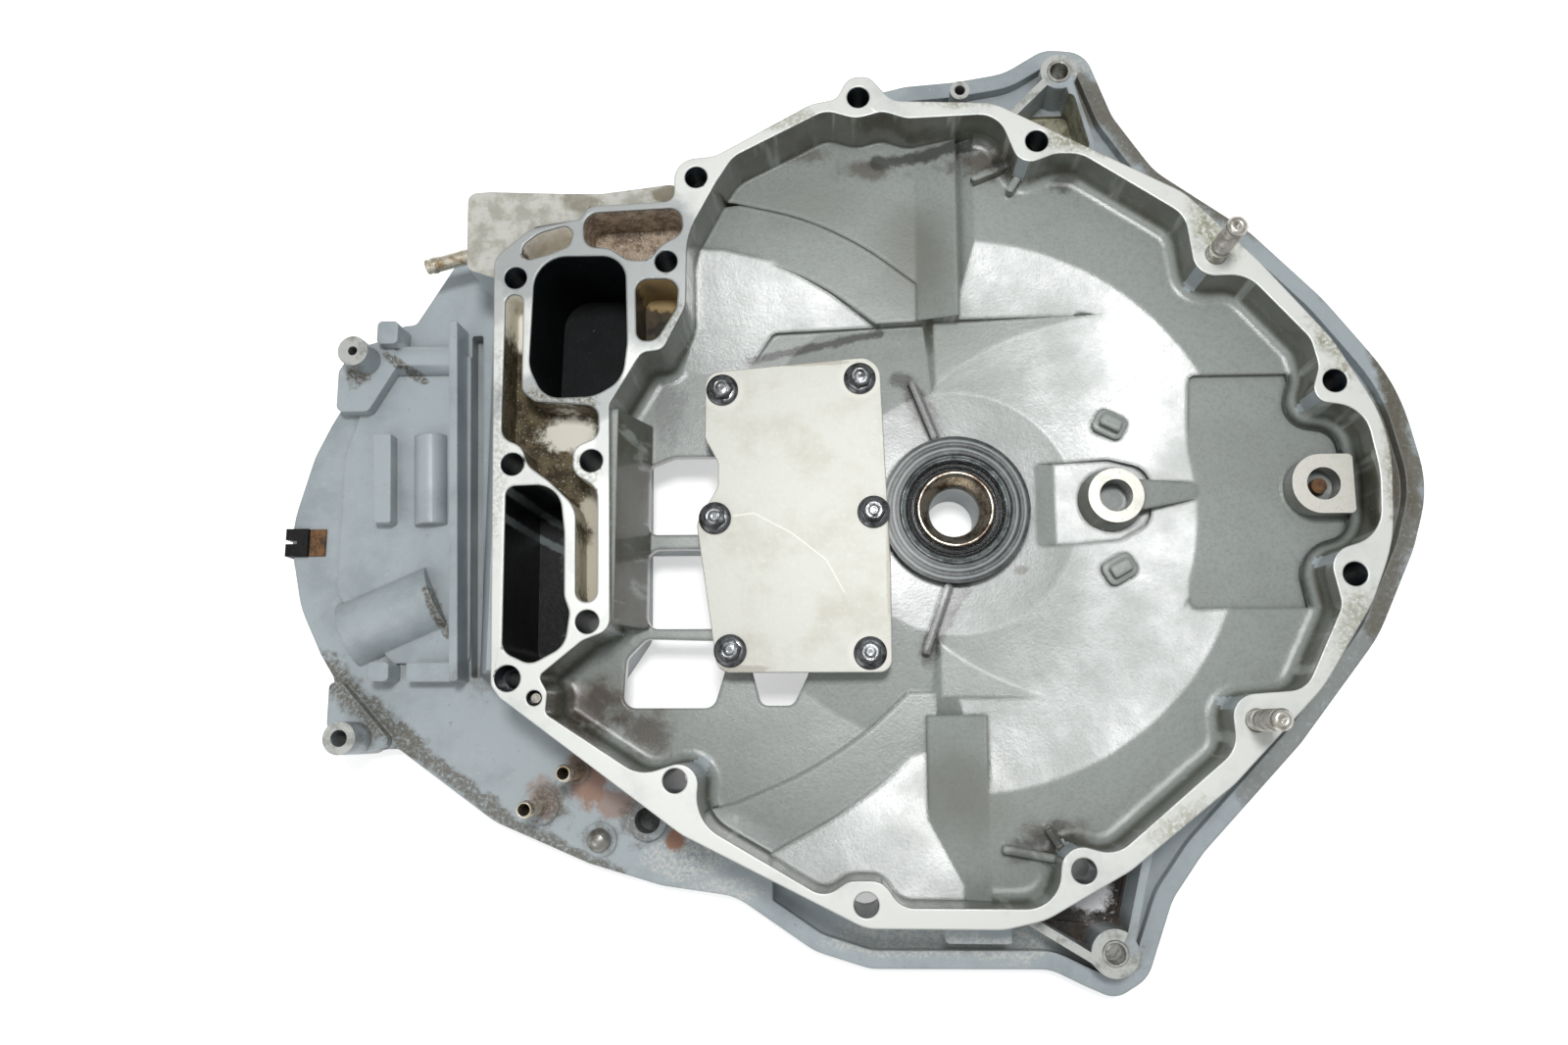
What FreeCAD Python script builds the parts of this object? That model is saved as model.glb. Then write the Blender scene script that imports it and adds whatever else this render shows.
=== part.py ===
"""Exhaust adapter plate of an outboard engine, a cast aluminium part with its fittings.

Millimetres. The origin is on the driveshaft axis, in the face that rests on the engine.
+Z points out of the oil-pan face, +X points away from the port block.
"""
import FreeCAD, Part
import math
import os
from FreeCAD import Placement, Rotation, Vector

doc = FreeCAD.newDocument("exhaust_adapter_plate")

# Driving sizes
SIZES = {
    # levels of the casting above the engine face
    "plate_height": 62,
    "rim_height": 14,
    "trough_level": 8,
    "near_floor": 28,
    "far_floor": 42,
    "hub_floor": 31,
    "panel_floor": 39,
    "floor_thickness": 5,
    "port_floor": 8,
    "kidney_depth": 26,
    "oil_pocket_depth": 22,
    "taper_pocket_depth": 24,
    "water_port_depth": 20,
    "rough_drop": 5,
    "lean_drop": 4,
    # casting walls
    "lip_width": 7,
    "floor_fillet": 5,
    "rib_thickness": 3,
    "hub_rib_level": 36,
    "corner_rib_rise": 5,
    "outside_rib_thickness": 3.5,
    "engine_rib_thickness": 5,
    "engine_rib_level": 4,
    "outer_terrace_rise": 8,
    "inner_terrace_rise": 6.8,
    "inner_facet_rise": 6.4,
    "lower_terrace_rise": 2.5,
    "facet_fall": 0.16,
    # gasket face holes
    "bolt_hole_dia": 9,
    "relief_dia": 15,
    "relief_level_aft": 32,
    "relief_level_side": 47,
    # driveshaft hub and seal
    "shaft_bore_dia": 20,
    "hub_dia": 60,
    "hub_rise": 7,
    "hub_stem_dia": 54,
    "seal_dia": 45,
    "seal_depth": 9,
    "seal_wall": 2.6,
    "sleeve_dia": 31,
    "sleeve_wall": 1.6,
    "sleeve_rise": 1,
    # dish about the hub
    "dish_radius": 112,
    "dish_floor_radius": 50,
    "mound_radius": 95,
    # cover plate and its bolts
    "cover_seat_level": 41.5,
    "cover_thickness": 2.5,
    "cover_hole_dia": 6.6,
    "cover_bolt_dia": 6,
    "cover_bolt_depth": 9,
    "bolt_end_room": 1,
    "bolt_dish_dia": 5,
    "bolt_dish_depth": 0.7,
    "bolt_flange_dia": 13,
    "bolt_flange_thickness": 1.4,
    "bolt_hex_width": 8,
    "bolt_head_height": 5.2,
    "seat_boss_dia": 13,
    "seat_wall": 3,
    # studs
    "stud_dia": 8,
    "stud_stand": 28,
    "stud_depth": 22,
    "stud_neck_dia": 6.6,
    "stud_chamfer": 1.2,
    # hose nipples
    "nipple_dia": 6.4,
    "nipple_bore": 4.8,
    "nipple_stand": 25,
    "nipple_depth": 9,
    "nipple_bead": 0.35,
    "collar_height": 2,
    # small fittings
    "plug_dia": 9.6,
    "plug_shank_dia": 6.6,
    "plug_brim": 1.5,
    "plug_stand": 5,
    "plug_depth": 6,
    "step_bore_dia": 10,
    "step_bore_depth": 11,
    "step_hole_dia": 7,
    "pin_dia": 3.8,
    "pin_length": 12,
    "pin_recess": 3,
    "pin_mouth_dia": 5.8,
    "pin_mouth_depth": 6,
    "pad_level": 50,
    "pad_bolt_dia": 6,
    "pad_bolt_drop": 5,
    "pad_hole_dia": 12.8,
    "pad_hole_depth": 9,
    "bush_level": 43,
    "bush_boss_dia": 22,
    "bush_boss_foot_dia": 27,
    "bush_bore": 13,
    "bush_depth": 12,
    "lifter_level": 41,
    "lifter_length": 8.6,
    "lifter_width": 5,
    "lifter_foot_level": 37.2,
    "lifter_foot_length": 13,
    "lifter_foot_width": 10,
    "clip_wall": 2,
    "clip_drop": 11,
    "socket_dia": 10.5,
    "socket_level": 3,
    # lugs
    "lug_hole_dia": 7.6,
    "lug_bush_wall": 1.3,
    "lug_level": 28,
    "left_lug_level": 38,
    "lug_pocket_level": 6,
    "arch_bar_rise": 16,
    "arch_floor_rise": 2,
    "arch_web_rise": 9,
    "arch_box_rise": 10,
    "arch_gap_level": 5,
    "small_lug_hole_dia": 4.6,
    "small_lug_hole_level": 10,
    "left_upper_hole_dia": 4,
    "left_upper_hole_level": 16,
    "left_lower_hole_dia": 6.8,
    # fits
    "press_gap": 0.04,
    "cut_over": 2,
}

sheet = doc.addObject("Spreadsheet::Sheet", "Sizes")
for row, (alias, value) in enumerate(SIZES.items(), start=1):
    sheet.set("A%d" % row, alias)
    sheet.set("B%d" % row, str(value))
    sheet.setAlias("B%d" % row, alias)
doc.recompute()


def size(alias):
    """The number that the sheet holds for a size."""
    return float(getattr(sheet, alias))


def bind(item, **expressions):
    """Bind properties of a document object to expressions of the sheet's sizes."""
    for name, expression in expressions.items():
        for alias in sorted(SIZES, key=len, reverse=True):
            expression = expression.replace("<%s>" % alias, "Sizes." + alias)
        item.setExpression(name, expression)


def lift(item, expression):
    """Bind the height at which an item starts."""
    for alias in SIZES:
        expression = expression.replace("<%s>" % alias, "Sizes." + alias)
    item.setExpression(".Placement.Base.z", expression)


def rounded_edges(corners):
    """Lines and tangent arcs round a closed outline of (x, y, radius) corners."""
    points = [Vector(x, y, 0) for x, y, _ in corners]
    count = len(corners)
    cuts = []
    for i, (_, _, radius) in enumerate(corners):
        before = (points[i - 1] - points[i])
        after = (points[(i + 1) % count] - points[i])
        half = before.getAngle(after) / 2
        room = 0.48 * min(before.Length, after.Length)
        reach = min(radius / math.tan(half), room)
        reach = max(reach, 0.02)
        bend = reach * math.tan(half)
        first = points[i] + before.normalize() * reach
        last = points[i] + after.normalize() * reach
        to_centre = (first + last) * 0.5 - points[i]
        centre_reach = bend / math.sin(half)
        middle = points[i] + to_centre.normalize() * (centre_reach - bend)
        cuts.append((first, middle, last))
    edges = []
    for i, (first, middle, last) in enumerate(cuts):
        edges.append(Part.Arc(first, middle, last))
        edges.append(Part.LineSegment(last, cuts[(i + 1) % count][0]))
    return edges


def outline(name, corners, level="0"):
    """A closed sketch of lines and arcs, lying level at the given height."""
    sketch = doc.addObject("Sketcher::SketchObject", name + "_outline")
    sketch.addGeometry(rounded_edges(corners), False)
    lift(sketch, level)
    return sketch


def drawn_up(name, base, height):
    """A flat outline drawn up by a height."""
    body = doc.addObject("Part::Extrusion", name)
    body.Base = base
    body.DirMode = "Custom"
    body.Dir = Vector(0, 0, 1)
    body.Solid = True
    bind(body, LengthFwd=height)
    return body


def prism(name, corners, level, height):
    """An outline drawn up from its level by a height."""
    return drawn_up(name, outline(name, corners, level), height)


def cylinder(name, x, y, level, diameter, height):
    """An upright cylinder."""
    item = doc.addObject("Part::Cylinder", name)
    item.Placement = Placement(Vector(x, y, 0), Rotation())
    bind(item, Radius="(%s) / 2" % diameter, Height=height)
    lift(item, level)
    return item


def strip(name, start, end, thickness, level, height, end_radius=1.2):
    """A straight rib between two points, seen from above as a bar with round ends."""
    x0, y0 = start
    x1, y1 = end
    length = math.hypot(x1 - x0, y1 - y0)
    across = Vector(-(y1 - y0), x1 - x0, 0) * (thickness / 2 / length)
    corners = [
        (x0 + across.x, y0 + across.y, end_radius),
        (x1 + across.x, y1 + across.y, end_radius),
        (x1 - across.x, y1 - across.y, end_radius),
        (x0 - across.x, y0 - across.y, end_radius),
    ]
    return prism(name, corners, level, height)


def fuse(name, items):
    item = doc.addObject("Part::MultiFuse", name)
    item.Shapes = items
    return item


def cut(name, base, tool):
    item = doc.addObject("Part::Cut", name)
    item.Base = base
    item.Tool = tool
    return item


def common(name, items):
    item = doc.addObject("Part::MultiCommon", name)
    item.Shapes = items
    return item


def turned(name, profile, place=None):
    """A piece turned about its own Z axis from (radius, height) points."""
    face_line = [Vector(radius, 0, height) for radius, height in profile]
    face_line.append(face_line[0])
    face = Part.Face(Part.makePolygon(face_line))
    item = doc.addObject("Part::Feature", name)
    item.Shape = face.revolve(Vector(0, 0, 0), Vector(0, 0, 1), 360)
    item.Placement = place or Placement()
    return item


# Outlines, as corners of (x, y, radius)

# Outer edge of the machined gasket face, with the port block on the left
GASKET_EDGE = [
    (-112.5, 141, 9), (-96, 142.5, 12), (-57, 164, 14), (-46.5, 166, 5), (-41.5, 175.5, 6),
    (-33, 175.5, 6), (-24, 164.5, 9), (17, 162.5, 24), (91, 122, 24), (118, 93, 60),
    (144, 60.5, 60), (163, 25, 60), (160.5, -18, 60), (151, -41, 40), (131, -72, 40),
    (97, -107, 30),
    (58, -138, 25), (27, -155.5, 25), (12, -159, 25), (-38, -159, 16), (-106, -126, 25),
    (-176.5, -75.5, 5), (-180, -71, 5), (-185.5, 101, 8), (-170, 113.5, 14), (-151, 116.5, 4),
    (-147.5, 122, 4), (-112.5, 123.5, 4),
]

# Mouth of the oil-pan cavity in the gasket face
MOUTH = [
    (-107, 79, 14), (-107, 109, 30), (-95.5, 131, 12), (-88.5, 142, 12), (-51, 161, 10),
    (-38.5, 157, 12), (-28, 160, 9), (-18, 156.5, 12), (18.5, 157.5, 11), (27, 134.5, 9.5),
    (41, 139.8, 10), (51, 139.5, 14), (90.5, 112.5, 12), (93.5, 87, 8.8), (113, 87.5, 14),
    (135.5, 61, 9), (137.8, 50, 9), (133.5, 36.5, 8.8), (153.5, 33.5, 13), (157.5, 8, 50),
    (156, -16, 14), (136, -22, 8.8), (139.8, -42, 9), (124.5, -73, 10), (97, -75, 8.8),
    (98.2, -94.5, 12), (53, -132.5, 12), (34, -127.5, 8.8), (31.5, -151.5, 18),
    (-25, -151.5, 9), (-31.5, -142, 8), (-44, -142, 8), (-53, -148, 9), (-101, -121, 16),
    (-99, -97, 8.8), (-122, -104.5, 14), (-158.5, -81.5, 3), (-158, -73.5, 3),
    (-161.5, -67.5, 2.5), (-145, -54, 9), (-134.5, -50, 6), (-136.8, 39, 5), (-124.5, 60, 5),
    (-116, 61, 5),
]

# Outer edge of the engine-side rim, with the arch of the front mount on the left
RIM_EDGE = [
    (-112, 135, 5), (-96, 139, 10), (-62, 160, 10), (-33, 193, 14), (-16, 197, 20),
    (6, 198.5, 30), (28, 202, 25), (46, 213, 14), (64, 211, 12), (75, 180, 25), (92, 154, 30),
    (131, 125, 40), (160, 94, 80), (188, 56, 80), (197, 12, 70), (189, -14, 60),
    (172, -50, 60), (138, -93, 50), (97, -136, 40), (84, -154, 25), (73, -184, 14),
    (60, -192, 10), (48, -187, 14), (35, -181, 16), (-36, -181.5, 20), (-58, -175, 25),
    (-90, -154, 25), (-120, -150, 30), (-150, -141.5, 30), (-190, -125, 30), (-232, -95.5, 4),
    (-255, -96, 5), (-261, -90, 4), (-261.5, -66, 5), (-268, -56, 8), (-278, -36, 40),
    (-285, -4, 50), (-276, 30, 30), (-269.5, 44, 5), (-264.5, 53, 5), (-264.5, 66, 5),
    (-246, 76, 5), (-241, 89, 4), (-234, 89.5, 4), (-207, 134, 8), (-188, 137, 8),
    (-125, 137, 8),
]

# The rough cast top beside the block's two upper ports
ROUGH_TOP = [
    (-198, 98, 4), (-199, 131, 4), (-190, 131.5, 4), (-160, 130, 20), (-143, 129.5, 20),
    (-113, 133, 4), (-105, 120, 5), (-112, 100, 5), (-180, 92, 5),
]

KIDNEY_PORT = [
    (-174.2, 101.5, 2), (-171.3, 99.8, 2), (-163, 102, 12), (-155, 105.3, 3), (-153.4, 111, 3),
    (-156.5, 114, 3), (-167.5, 111, 12), (-173.6, 106, 4),
]
OIL_POCKET = [
    (-149.5, 119, 6), (-110, 120.5, 5), (-108.5, 110, 6), (-117.5, 105, 12), (-122.5, 98.5, 6),
    (-131, 99, 6), (-138, 104, 9), (-148.5, 105, 5),
]
EXHAUST_PORT = [
    (-168.5, 101, 13), (-132, 100.5, 10), (-130.5, 64, 20), (-132, 49, 12), (-143, 42.5, 16),
    (-163, 42, 10), (-169.5, 55, 14),
]
TAPER_POCKET = [
    (-127.5, 90.5, 5), (-110, 90.5, 6), (-111, 78, 6), (-119, 65, 5), (-126.5, 65, 4),
]
WATER_PORT = [
    (-180, 85, 3.6), (-173, 85, 3.6), (-172.3, 45, 5), (-167, 40.5, 5), (-141.5, 38.5, 5),
    (-141, 26, 5), (-151, 22, 6), (-151, 11.5, 7), (-141, 5.5, 7), (-140, -39, 4),
    (-148, -39, 4), (-149, -2, 12), (-160, 8.5, 20), (-169, 15, 9), (-171, 22.5, 7),
    (-179.5, 26, 6),
]
LOWER_PORT = [
    (-177, 6.5, 4), (-156, 7, 12), (-153.5, -12, 6), (-152.8, -37, 8), (-150.5, -43, 6),
    (-152, -56, 9), (-165, -63, 7), (-176, -58, 6),
]

WINDOWS = {
    "window_upper": [(-126, 21, 3), (-116, 25, 5), (-90, 25, 4), (-88, -8, 3), (-126, -8, 4)],
    "window_middle": [(-126, -14, 5), (-88, -14, 3), (-88, -47, 3), (-126, -47, 5)],
    "window_lower": [(-126, -51, 4), (-134, -59, 5), (-135, -79, 5), (-98, -79, 5), (-90, -52, 4)],
    "window_aft": [(-85, -55, 4), (-58, -55, 4), (-60, -66, 5), (-66, -78, 4), (-79, -78, 4)],
}

COVER_EDGE = [
    (-101, 56.5, 6), (-30, 62.5, 8), (-26.5, -22, 30), (-26.5, -65.5, 5), (-95, -65.5, 6),
    (-104, -6, 6), (-95.5, 9, 5), (-95.5, 19, 5), (-101, 29, 6),
]
# The pocket in the engine side, under the whole cavity floor
ENGINE_POCKET = [
    (-94, 118, 10), (-84, 130, 8), (-56, 144, 8), (-20, 146, 8), (8, 146, 10), (24, 128, 10),
    (78, 100, 14), (124, 58, 12), (146, 22, 14), (146, -12, 14), (126, -50, 12), (88, -90, 12),
    (86, -98, 10), (52, -118, 12), (22, -122, 12), (14, -141, 10), (-24, -141, 8),
    (-34, -133, 8), (-52, -137, 8), (-90, -118, 10), (-90, -90, 10), (-118, -94, 10),
    (-148, -80, 8), (-128, -50, 8), (-129, 36, 8), (-112, 54, 8), (-100, 76, 10), (-100, 104, 10),
]
ENGINE_RIBS = {
    "engine_rib_far": ((20, 5), (150, 5)),
    "engine_rib_top": ((5, 20), (5, 150)),
    "engine_rib_bottom": ((-5, -20), (-5, -145)),
    "engine_rib_block": ((-20, -11), (-132, -11)),
}

BOLT_HOLES = {
    "flange_1": (-103.6, 133.5), "flange_2": (-37.6, 166.4), "flange_3": (33.8, 145.4),
    "flange_4": (143.4, 44.2), "flange_5": (145.4, -30.3), "flange_8": (-108.7, -106.4),
    "block_1": (-176.3, 92.1), "block_2": (-115.3, 97.8), "block_3": (-174.8, 15.3),
    "block_4": (-143.5, 16.3), "block_5": (-143.4, -46.8),
}
RELIEVED_HOLES = {
    "flange_6": (41.2, -138.1, "<relief_level_side>"),
    "flange_7": (-37.7, -150.6, "<relief_level_aft>"),
}
STUD_PLACES = {"stud_upper": (101.7, 96.1), "stud_lower": (106, -84.2)}
COVER_BOLT_PLACES = [(-94, 49), (-38, 53), (-96.5, -4), (-33, -2), (-90, -57), (-35, -58)]
NIPPLE_PLACES = {"nipple_upper": (-156, -104.5), "nipple_lower": (-171, -118.5)}
PLUG_PLACE = (-146, -132)
SOCKET_PLACE = (-126, -124)
STEP_BORE_PLACE = (-173.6, -68.3)
PIN_PLACE = (-163, -75.7)
LUG_PLACES = {"top": (50, 194.5), "bottom": (58, -172.5)}
SMALL_LUG_PLACE = (7, 187)
LEFT_UPPER_PLACE = (-252, 70.5)
LEFT_LOWER_PLACE = (-248, -91)
LUG_BORE = "<lug_hole_dia> + 2 * <lug_bush_wall> + 2 * <press_gap>"
SIDE_NIPPLE_SEAT = Vector(-199, 114.5, 34)
SIDE_NIPPLE_WAY = Vector(-0.97, -0.243, 0)
CLIP_PLACE = {"edge_x": -283.8, "back_x": -276, "y": (-14, -2)}
BUSH_PLACE = (63, 4)
PAD_PLACE = (141, 6.5)


# Where the trough runs beside the lip, on the far side from the block
TROUGH_REACH = [
    (-45, 230, 1), (230, 230, 1), (230, -175, 1), (60, -215, 1), (-75, -215, 1), (-75, 0, 1),
]
BLOCK_LEAN = {"foot_x": -204, "head_x": -183, "back_x": -180, "y": (-65, 93)}
# The cavity floor climbs from the near half to the far half between these places along X
FLOOR_RAMP = (-13, 10)
# The sloped channel between the two straight steps: along X, then along Y
CHANNEL_RUN = (-13, 78)
CHANNEL_SIDES = (-75, 80)
INNER_LEAN = {"foot_x": -125, "head_x": -134, "back_x": -138, "y": (-47, 38)}
MOUND_SIDE = (-140, 0)
# Further out than any edge of the casting
OUT = 300
ARCH_POCKET = [
    (-250, 60, 5), (-214, 60, 5), (-212, -52, 5), (-236, -56, 5), (-264, -22, 10), (-264, 30, 10),
]
PANEL_REACH = [(94, 53, 3), (170, 53, 3), (170, -41, 3), (90, -41, 3)]
FAR_PAD = [(129, 18.2, 11.4), (152.5, 18.2, 2), (152.5, -5.2, 2), (129, -5.2, 11.4)]
# Terraces of the deep half of the cavity floor, between arcs that run towards the hub
OUTER_TERRACE = [
    (-100, 135, 1), (-90, 133.5, 2), (-61, 126.5, 120), (-36, 113.5, 120), (-10, 93, 2),
    (2, 93, 1), (2, 160, 1), (-52, 162, 1), (-92, 143, 1),
]
INNER_TERRACE = [
    (-111, 112.5, 1), (-95, 111.5, 2), (-69, 105, 90), (-49, 93.5, 90), (-31, 79.3, 1),
    (1, 80.5, 1), (1, 100, 1), (-20, 140, 1), (-98, 132, 1), (-111, 118, 1),
]
INNER_FACET = [
    (-112, 62, 1), (-112, 114, 1), (-95, 113, 2), (-69, 106.5, 90), (-48, 95, 90), (-29, 79.3, 1),
    (-74, 77.5, 4), (-86, 60, 2),
]
LOWER_TERRACE = [
    (-104, -120, 1), (-88, -116, 2), (-62, -105, 120), (-38, -90, 120), (-20, -73, 2), (-4, -73, 1),
    (-4, -154, 1), (-44, -154, 1), (-58, -147.5, 1), (-103, -123, 1),
]
LOWER_FACET = [
    (-78, -137, 1), (-73, -134.5, 2), (-50, -122, 120), (-31, -109, 120), (-15.5, -95, 1),
    (0, -95, 1), (0, -154, 1), (-44, -153, 1), (-57, -147, 1),
]
# Facets that fall towards the hub: heading away from it in degrees, where the slope starts
FACET_SLOPES = {"inner_facet": (95, 110), "lower_facet": (285, 90)}
# Ramps between the near and the far half: foot and head along X, then the stretch along Y
TERRACE_RAMPS = {
    "ramp_upper": (-14, 3, "outer_terrace_rise", (80, 158)),
    "ramp_lower": (-13, 10, "inner_facet_rise", (-155, -82)),
}
# The recess that runs from the dish to the bush: outline, then its floor along X
BUSH_RECESS = [
    (33, 19.5, 2), (62, 20.5, 8), (78, 16, 9), (78, -6, 9), (66, -12.5, 8), (33, -14.5, 2),
]
RECESS_FLOOR = [(33, 31), (41, 29.8), (78, 33)]
# The wedge beyond the bush: outline, then its top along X
BUSH_WEDGE = [(68, 11, 1), (95, 9.5, 2.5), (96, 3, 2.5), (68, -2.5, 1)]
WEDGE_TOP = [(68, 41.5), (97, 39.2)]
# Small rectangular lifters on low feet: centre and turn in degrees
LIFTERS = {"lifter_upper": ((63, 34.5), -27), "lifter_lower": ((64.5, -24.5), 30)}
# Ribs on the cavity floor: start, end, top level and foot level
FLOOR_RIBS = {
    "hub_rib_upper": ((-17, 55), (-7, 29), "<hub_rib_level>", "<near_floor>"),
    "hub_rib_lower": ((-13, -58), (-3, -30), "<hub_rib_level>", "<near_floor>"),
    "corner_rib_1": ((31, 146), (9, 137), "<far_floor> + <corner_rib_rise>", "<panel_floor>"),
    "corner_rib_2": ((33, 145), (24, 131), "<far_floor> + <corner_rib_rise>", "<panel_floor>"),
    "corner_rib_3": ((38, -136), (14, -132), "<far_floor> + <corner_rib_rise>", "<panel_floor>"),
    "corner_rib_4": ((40, -138), (31, -124), "<far_floor> + <corner_rib_rise>", "<panel_floor>"),
}
SEAT_LINE = [(-94, 52), (-36, 57), (-30, -2), (-30.5, -61), (-52, -62)]


def casting_blank():
    """Rim, walls and port block before anything is hollowed."""
    rim = prism("rim", RIM_EDGE, "0", "<rim_height>")
    inset = doc.addObject("Part::Offset2D", "rim_inset")
    inset.Source = outline("rim_lip", RIM_EDGE, "<trough_level>")
    bind(inset, Value="-<lip_width>")
    trough_sheet = drawn_up("trough_sheet", inset, "<rim_height> - <trough_level> + <cut_over>")
    reach = prism("trough_reach", TROUGH_REACH, "0", "<plate_height>")
    trough = common("trough", [trough_sheet, reach])
    rim_with_lip = cut("rim_with_lip", rim, trough)
    walls = prism("walls", GASKET_EDGE, "0", "<plate_height>")
    rough_top = prism("rough_top", ROUGH_TOP, "0", "<plate_height> - <rough_drop>")
    # the block's front wall leans outwards towards the rim
    foot, head = BLOCK_LEAN["foot_x"], BLOCK_LEAN["head_x"]
    low_y, high_y = BLOCK_LEAN["y"]
    top = size("plate_height") - size("lean_drop")
    lean = side_profile(
        "block_lean",
        [(foot, 0), (BLOCK_LEAN["back_x"], 0), (BLOCK_LEAN["back_x"], top), (head, top)],
        low_y, high_y - low_y,
    )
    return fuse("blank", [rim_with_lip, walls, rough_top, lean])


def fillet_foot(name, base, level):
    """Round the edges of a cutting tool that lie at one level."""
    doc.recompute()
    radius = size("floor_fillet")
    foot = [
        (number, radius, radius)
        for number, edge in enumerate(base.Shape.Edges, start=1)
        if abs(edge.BoundBox.ZMax - level) < 0.01
    ]
    tool = doc.addObject("Part::Fillet", name)
    tool.Base = base
    tool.Edges = foot
    return tool


def side_profile(name, points, start_y, width):
    """A prism along Y from (x, z) points, starting at start_y and going towards +Y."""
    line = [Vector(x, start_y, z) for x, z in points]
    face = Part.Face(Part.makePolygon(line + line[:1]))
    item = doc.addObject("Part::Feature", name)
    item.Shape = face.extrude(Vector(0, width, 0))
    return item


def dish_cone(name, level):
    """The shallow cone of the dish, with its small end at a level."""
    cone = doc.addObject("Part::Cone", name)
    bind(
        cone, Radius1="<dish_floor_radius>", Radius2="<dish_radius>",
        Height="<far_floor> - <hub_floor>",
    )
    lift(cone, level)
    return cone


def cavity_tools():
    """The oil-pan cavity: a shallow far half, a deeper near half and the dish between."""
    top = size("plate_height") + size("cut_over")
    near, far, hub = size("near_floor"), size("far_floor"), size("hub_floor")
    over = size("cut_over")
    height = "<plate_height> - <%s> + <cut_over>"
    far_half = fillet_foot(
        "far_half", prism("far_half_blank", MOUTH, "<far_floor>", height % "far_floor"), far
    )
    near_blank = prism("near_half_blank", MOUTH, "<near_floor>", height % "near_floor")
    ramp_from, ramp_to = FLOOR_RAMP
    near_reach = side_profile(
        "near_reach",
        [(-OUT, near), (ramp_from, near), (ramp_to, far), (ramp_to, top), (-OUT, top)],
        -OUT, 2 * OUT,
    )
    near_half = fillet_foot("near_half", common("near_half_clip", [near_blank, near_reach]), near)
    dish = dish_cone("dish", "<hub_floor>")
    low_x, high_x = CHANNEL_RUN
    low_y, high_y = CHANNEL_SIDES
    channel = side_profile(
        "channel", [(low_x, hub), (high_x, far), (high_x, far + over), (low_x, far + over)],
        low_y, high_y - low_y,
    )
    panel_height = "<far_floor> - <panel_floor>"
    panel = common(
        "panel",
        [
            prism("panel_blank", MOUTH, "<panel_floor>", panel_height),
            prism("panel_reach", PANEL_REACH, "<panel_floor>", panel_height),
        ],
    )
    over_top = far + over
    recess_run = side_profile(
        "recess_run", RECESS_FLOOR + [(RECESS_FLOOR[-1][0], over_top), (RECESS_FLOOR[0][0], over_top)],
        -OUT, 2 * OUT,
    )
    recess_blank = prism("recess_blank", BUSH_RECESS, "<near_floor>", "<plate_height> - <near_floor>")
    recess = common("bush_recess", [recess_run, recess_blank])
    return [far_half, near_half, dish, channel, panel, recess]


def engine_side_tools():
    """The pocket under the cavity floor, with the hub's stem and four ribs left standing."""
    below = "0 - <cut_over>"
    near_depth = "<near_floor> - <floor_thickness> + <cut_over>"
    far_depth = "<panel_floor> - <floor_thickness> + <cut_over>"
    near_pocket = prism("engine_pocket_near", ENGINE_POCKET, below, near_depth)
    far_blank = prism("engine_pocket_blank", ENGINE_POCKET, below, far_depth)
    ramp_to = FLOOR_RAMP[1] + size("floor_thickness")
    far_reach = side_profile(
        "engine_pocket_reach",
        [(ramp_to, -OUT), (OUT, -OUT), (OUT, OUT), (ramp_to, OUT)],
        -OUT, 2 * OUT,
    )
    far_pocket = cut(
        "engine_pocket_far", common("engine_pocket_clip", [far_blank, far_reach]),
        dish_cone("engine_dish", "<hub_floor> - <floor_thickness>"),
    )
    left = [cylinder("hub_stem", 0, 0, "0 - <cut_over>", "<hub_stem_dia>", "<plate_height>")]
    for name, (start, end) in ENGINE_RIBS.items():
        left.append(
            strip(
                name, start, end, size("engine_rib_thickness"), "<engine_rib_level>", "<plate_height>"
            )
        )
    return cut("engine_pocket", fuse("engine_pockets", [near_pocket, far_pocket]), fuse("left", left))


def facet(name, corners, rise):
    """Part of the floor that falls towards the hub, passing a rise over the near floor on its way."""
    heading, start = FACET_SLOPES[name]
    near, slope = size("near_floor"), size("facet_fall")
    reach = size("dish_radius")
    top = near + rise
    slab = side_profile(
        name + "_slab",
        [(start - reach, near), (start + reach, near), (start + reach, top + reach * slope),
         (start, top), (start - rise / slope, near)],
        -reach, 2 * reach,
    )
    slab.Placement = Placement(Vector(0, 0, 0), Rotation(Vector(0, 0, 1), heading))
    blank = prism(name + "_blank", corners, "<near_floor>", "<plate_height> - <near_floor>")
    return common(name, [slab, blank])


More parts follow.
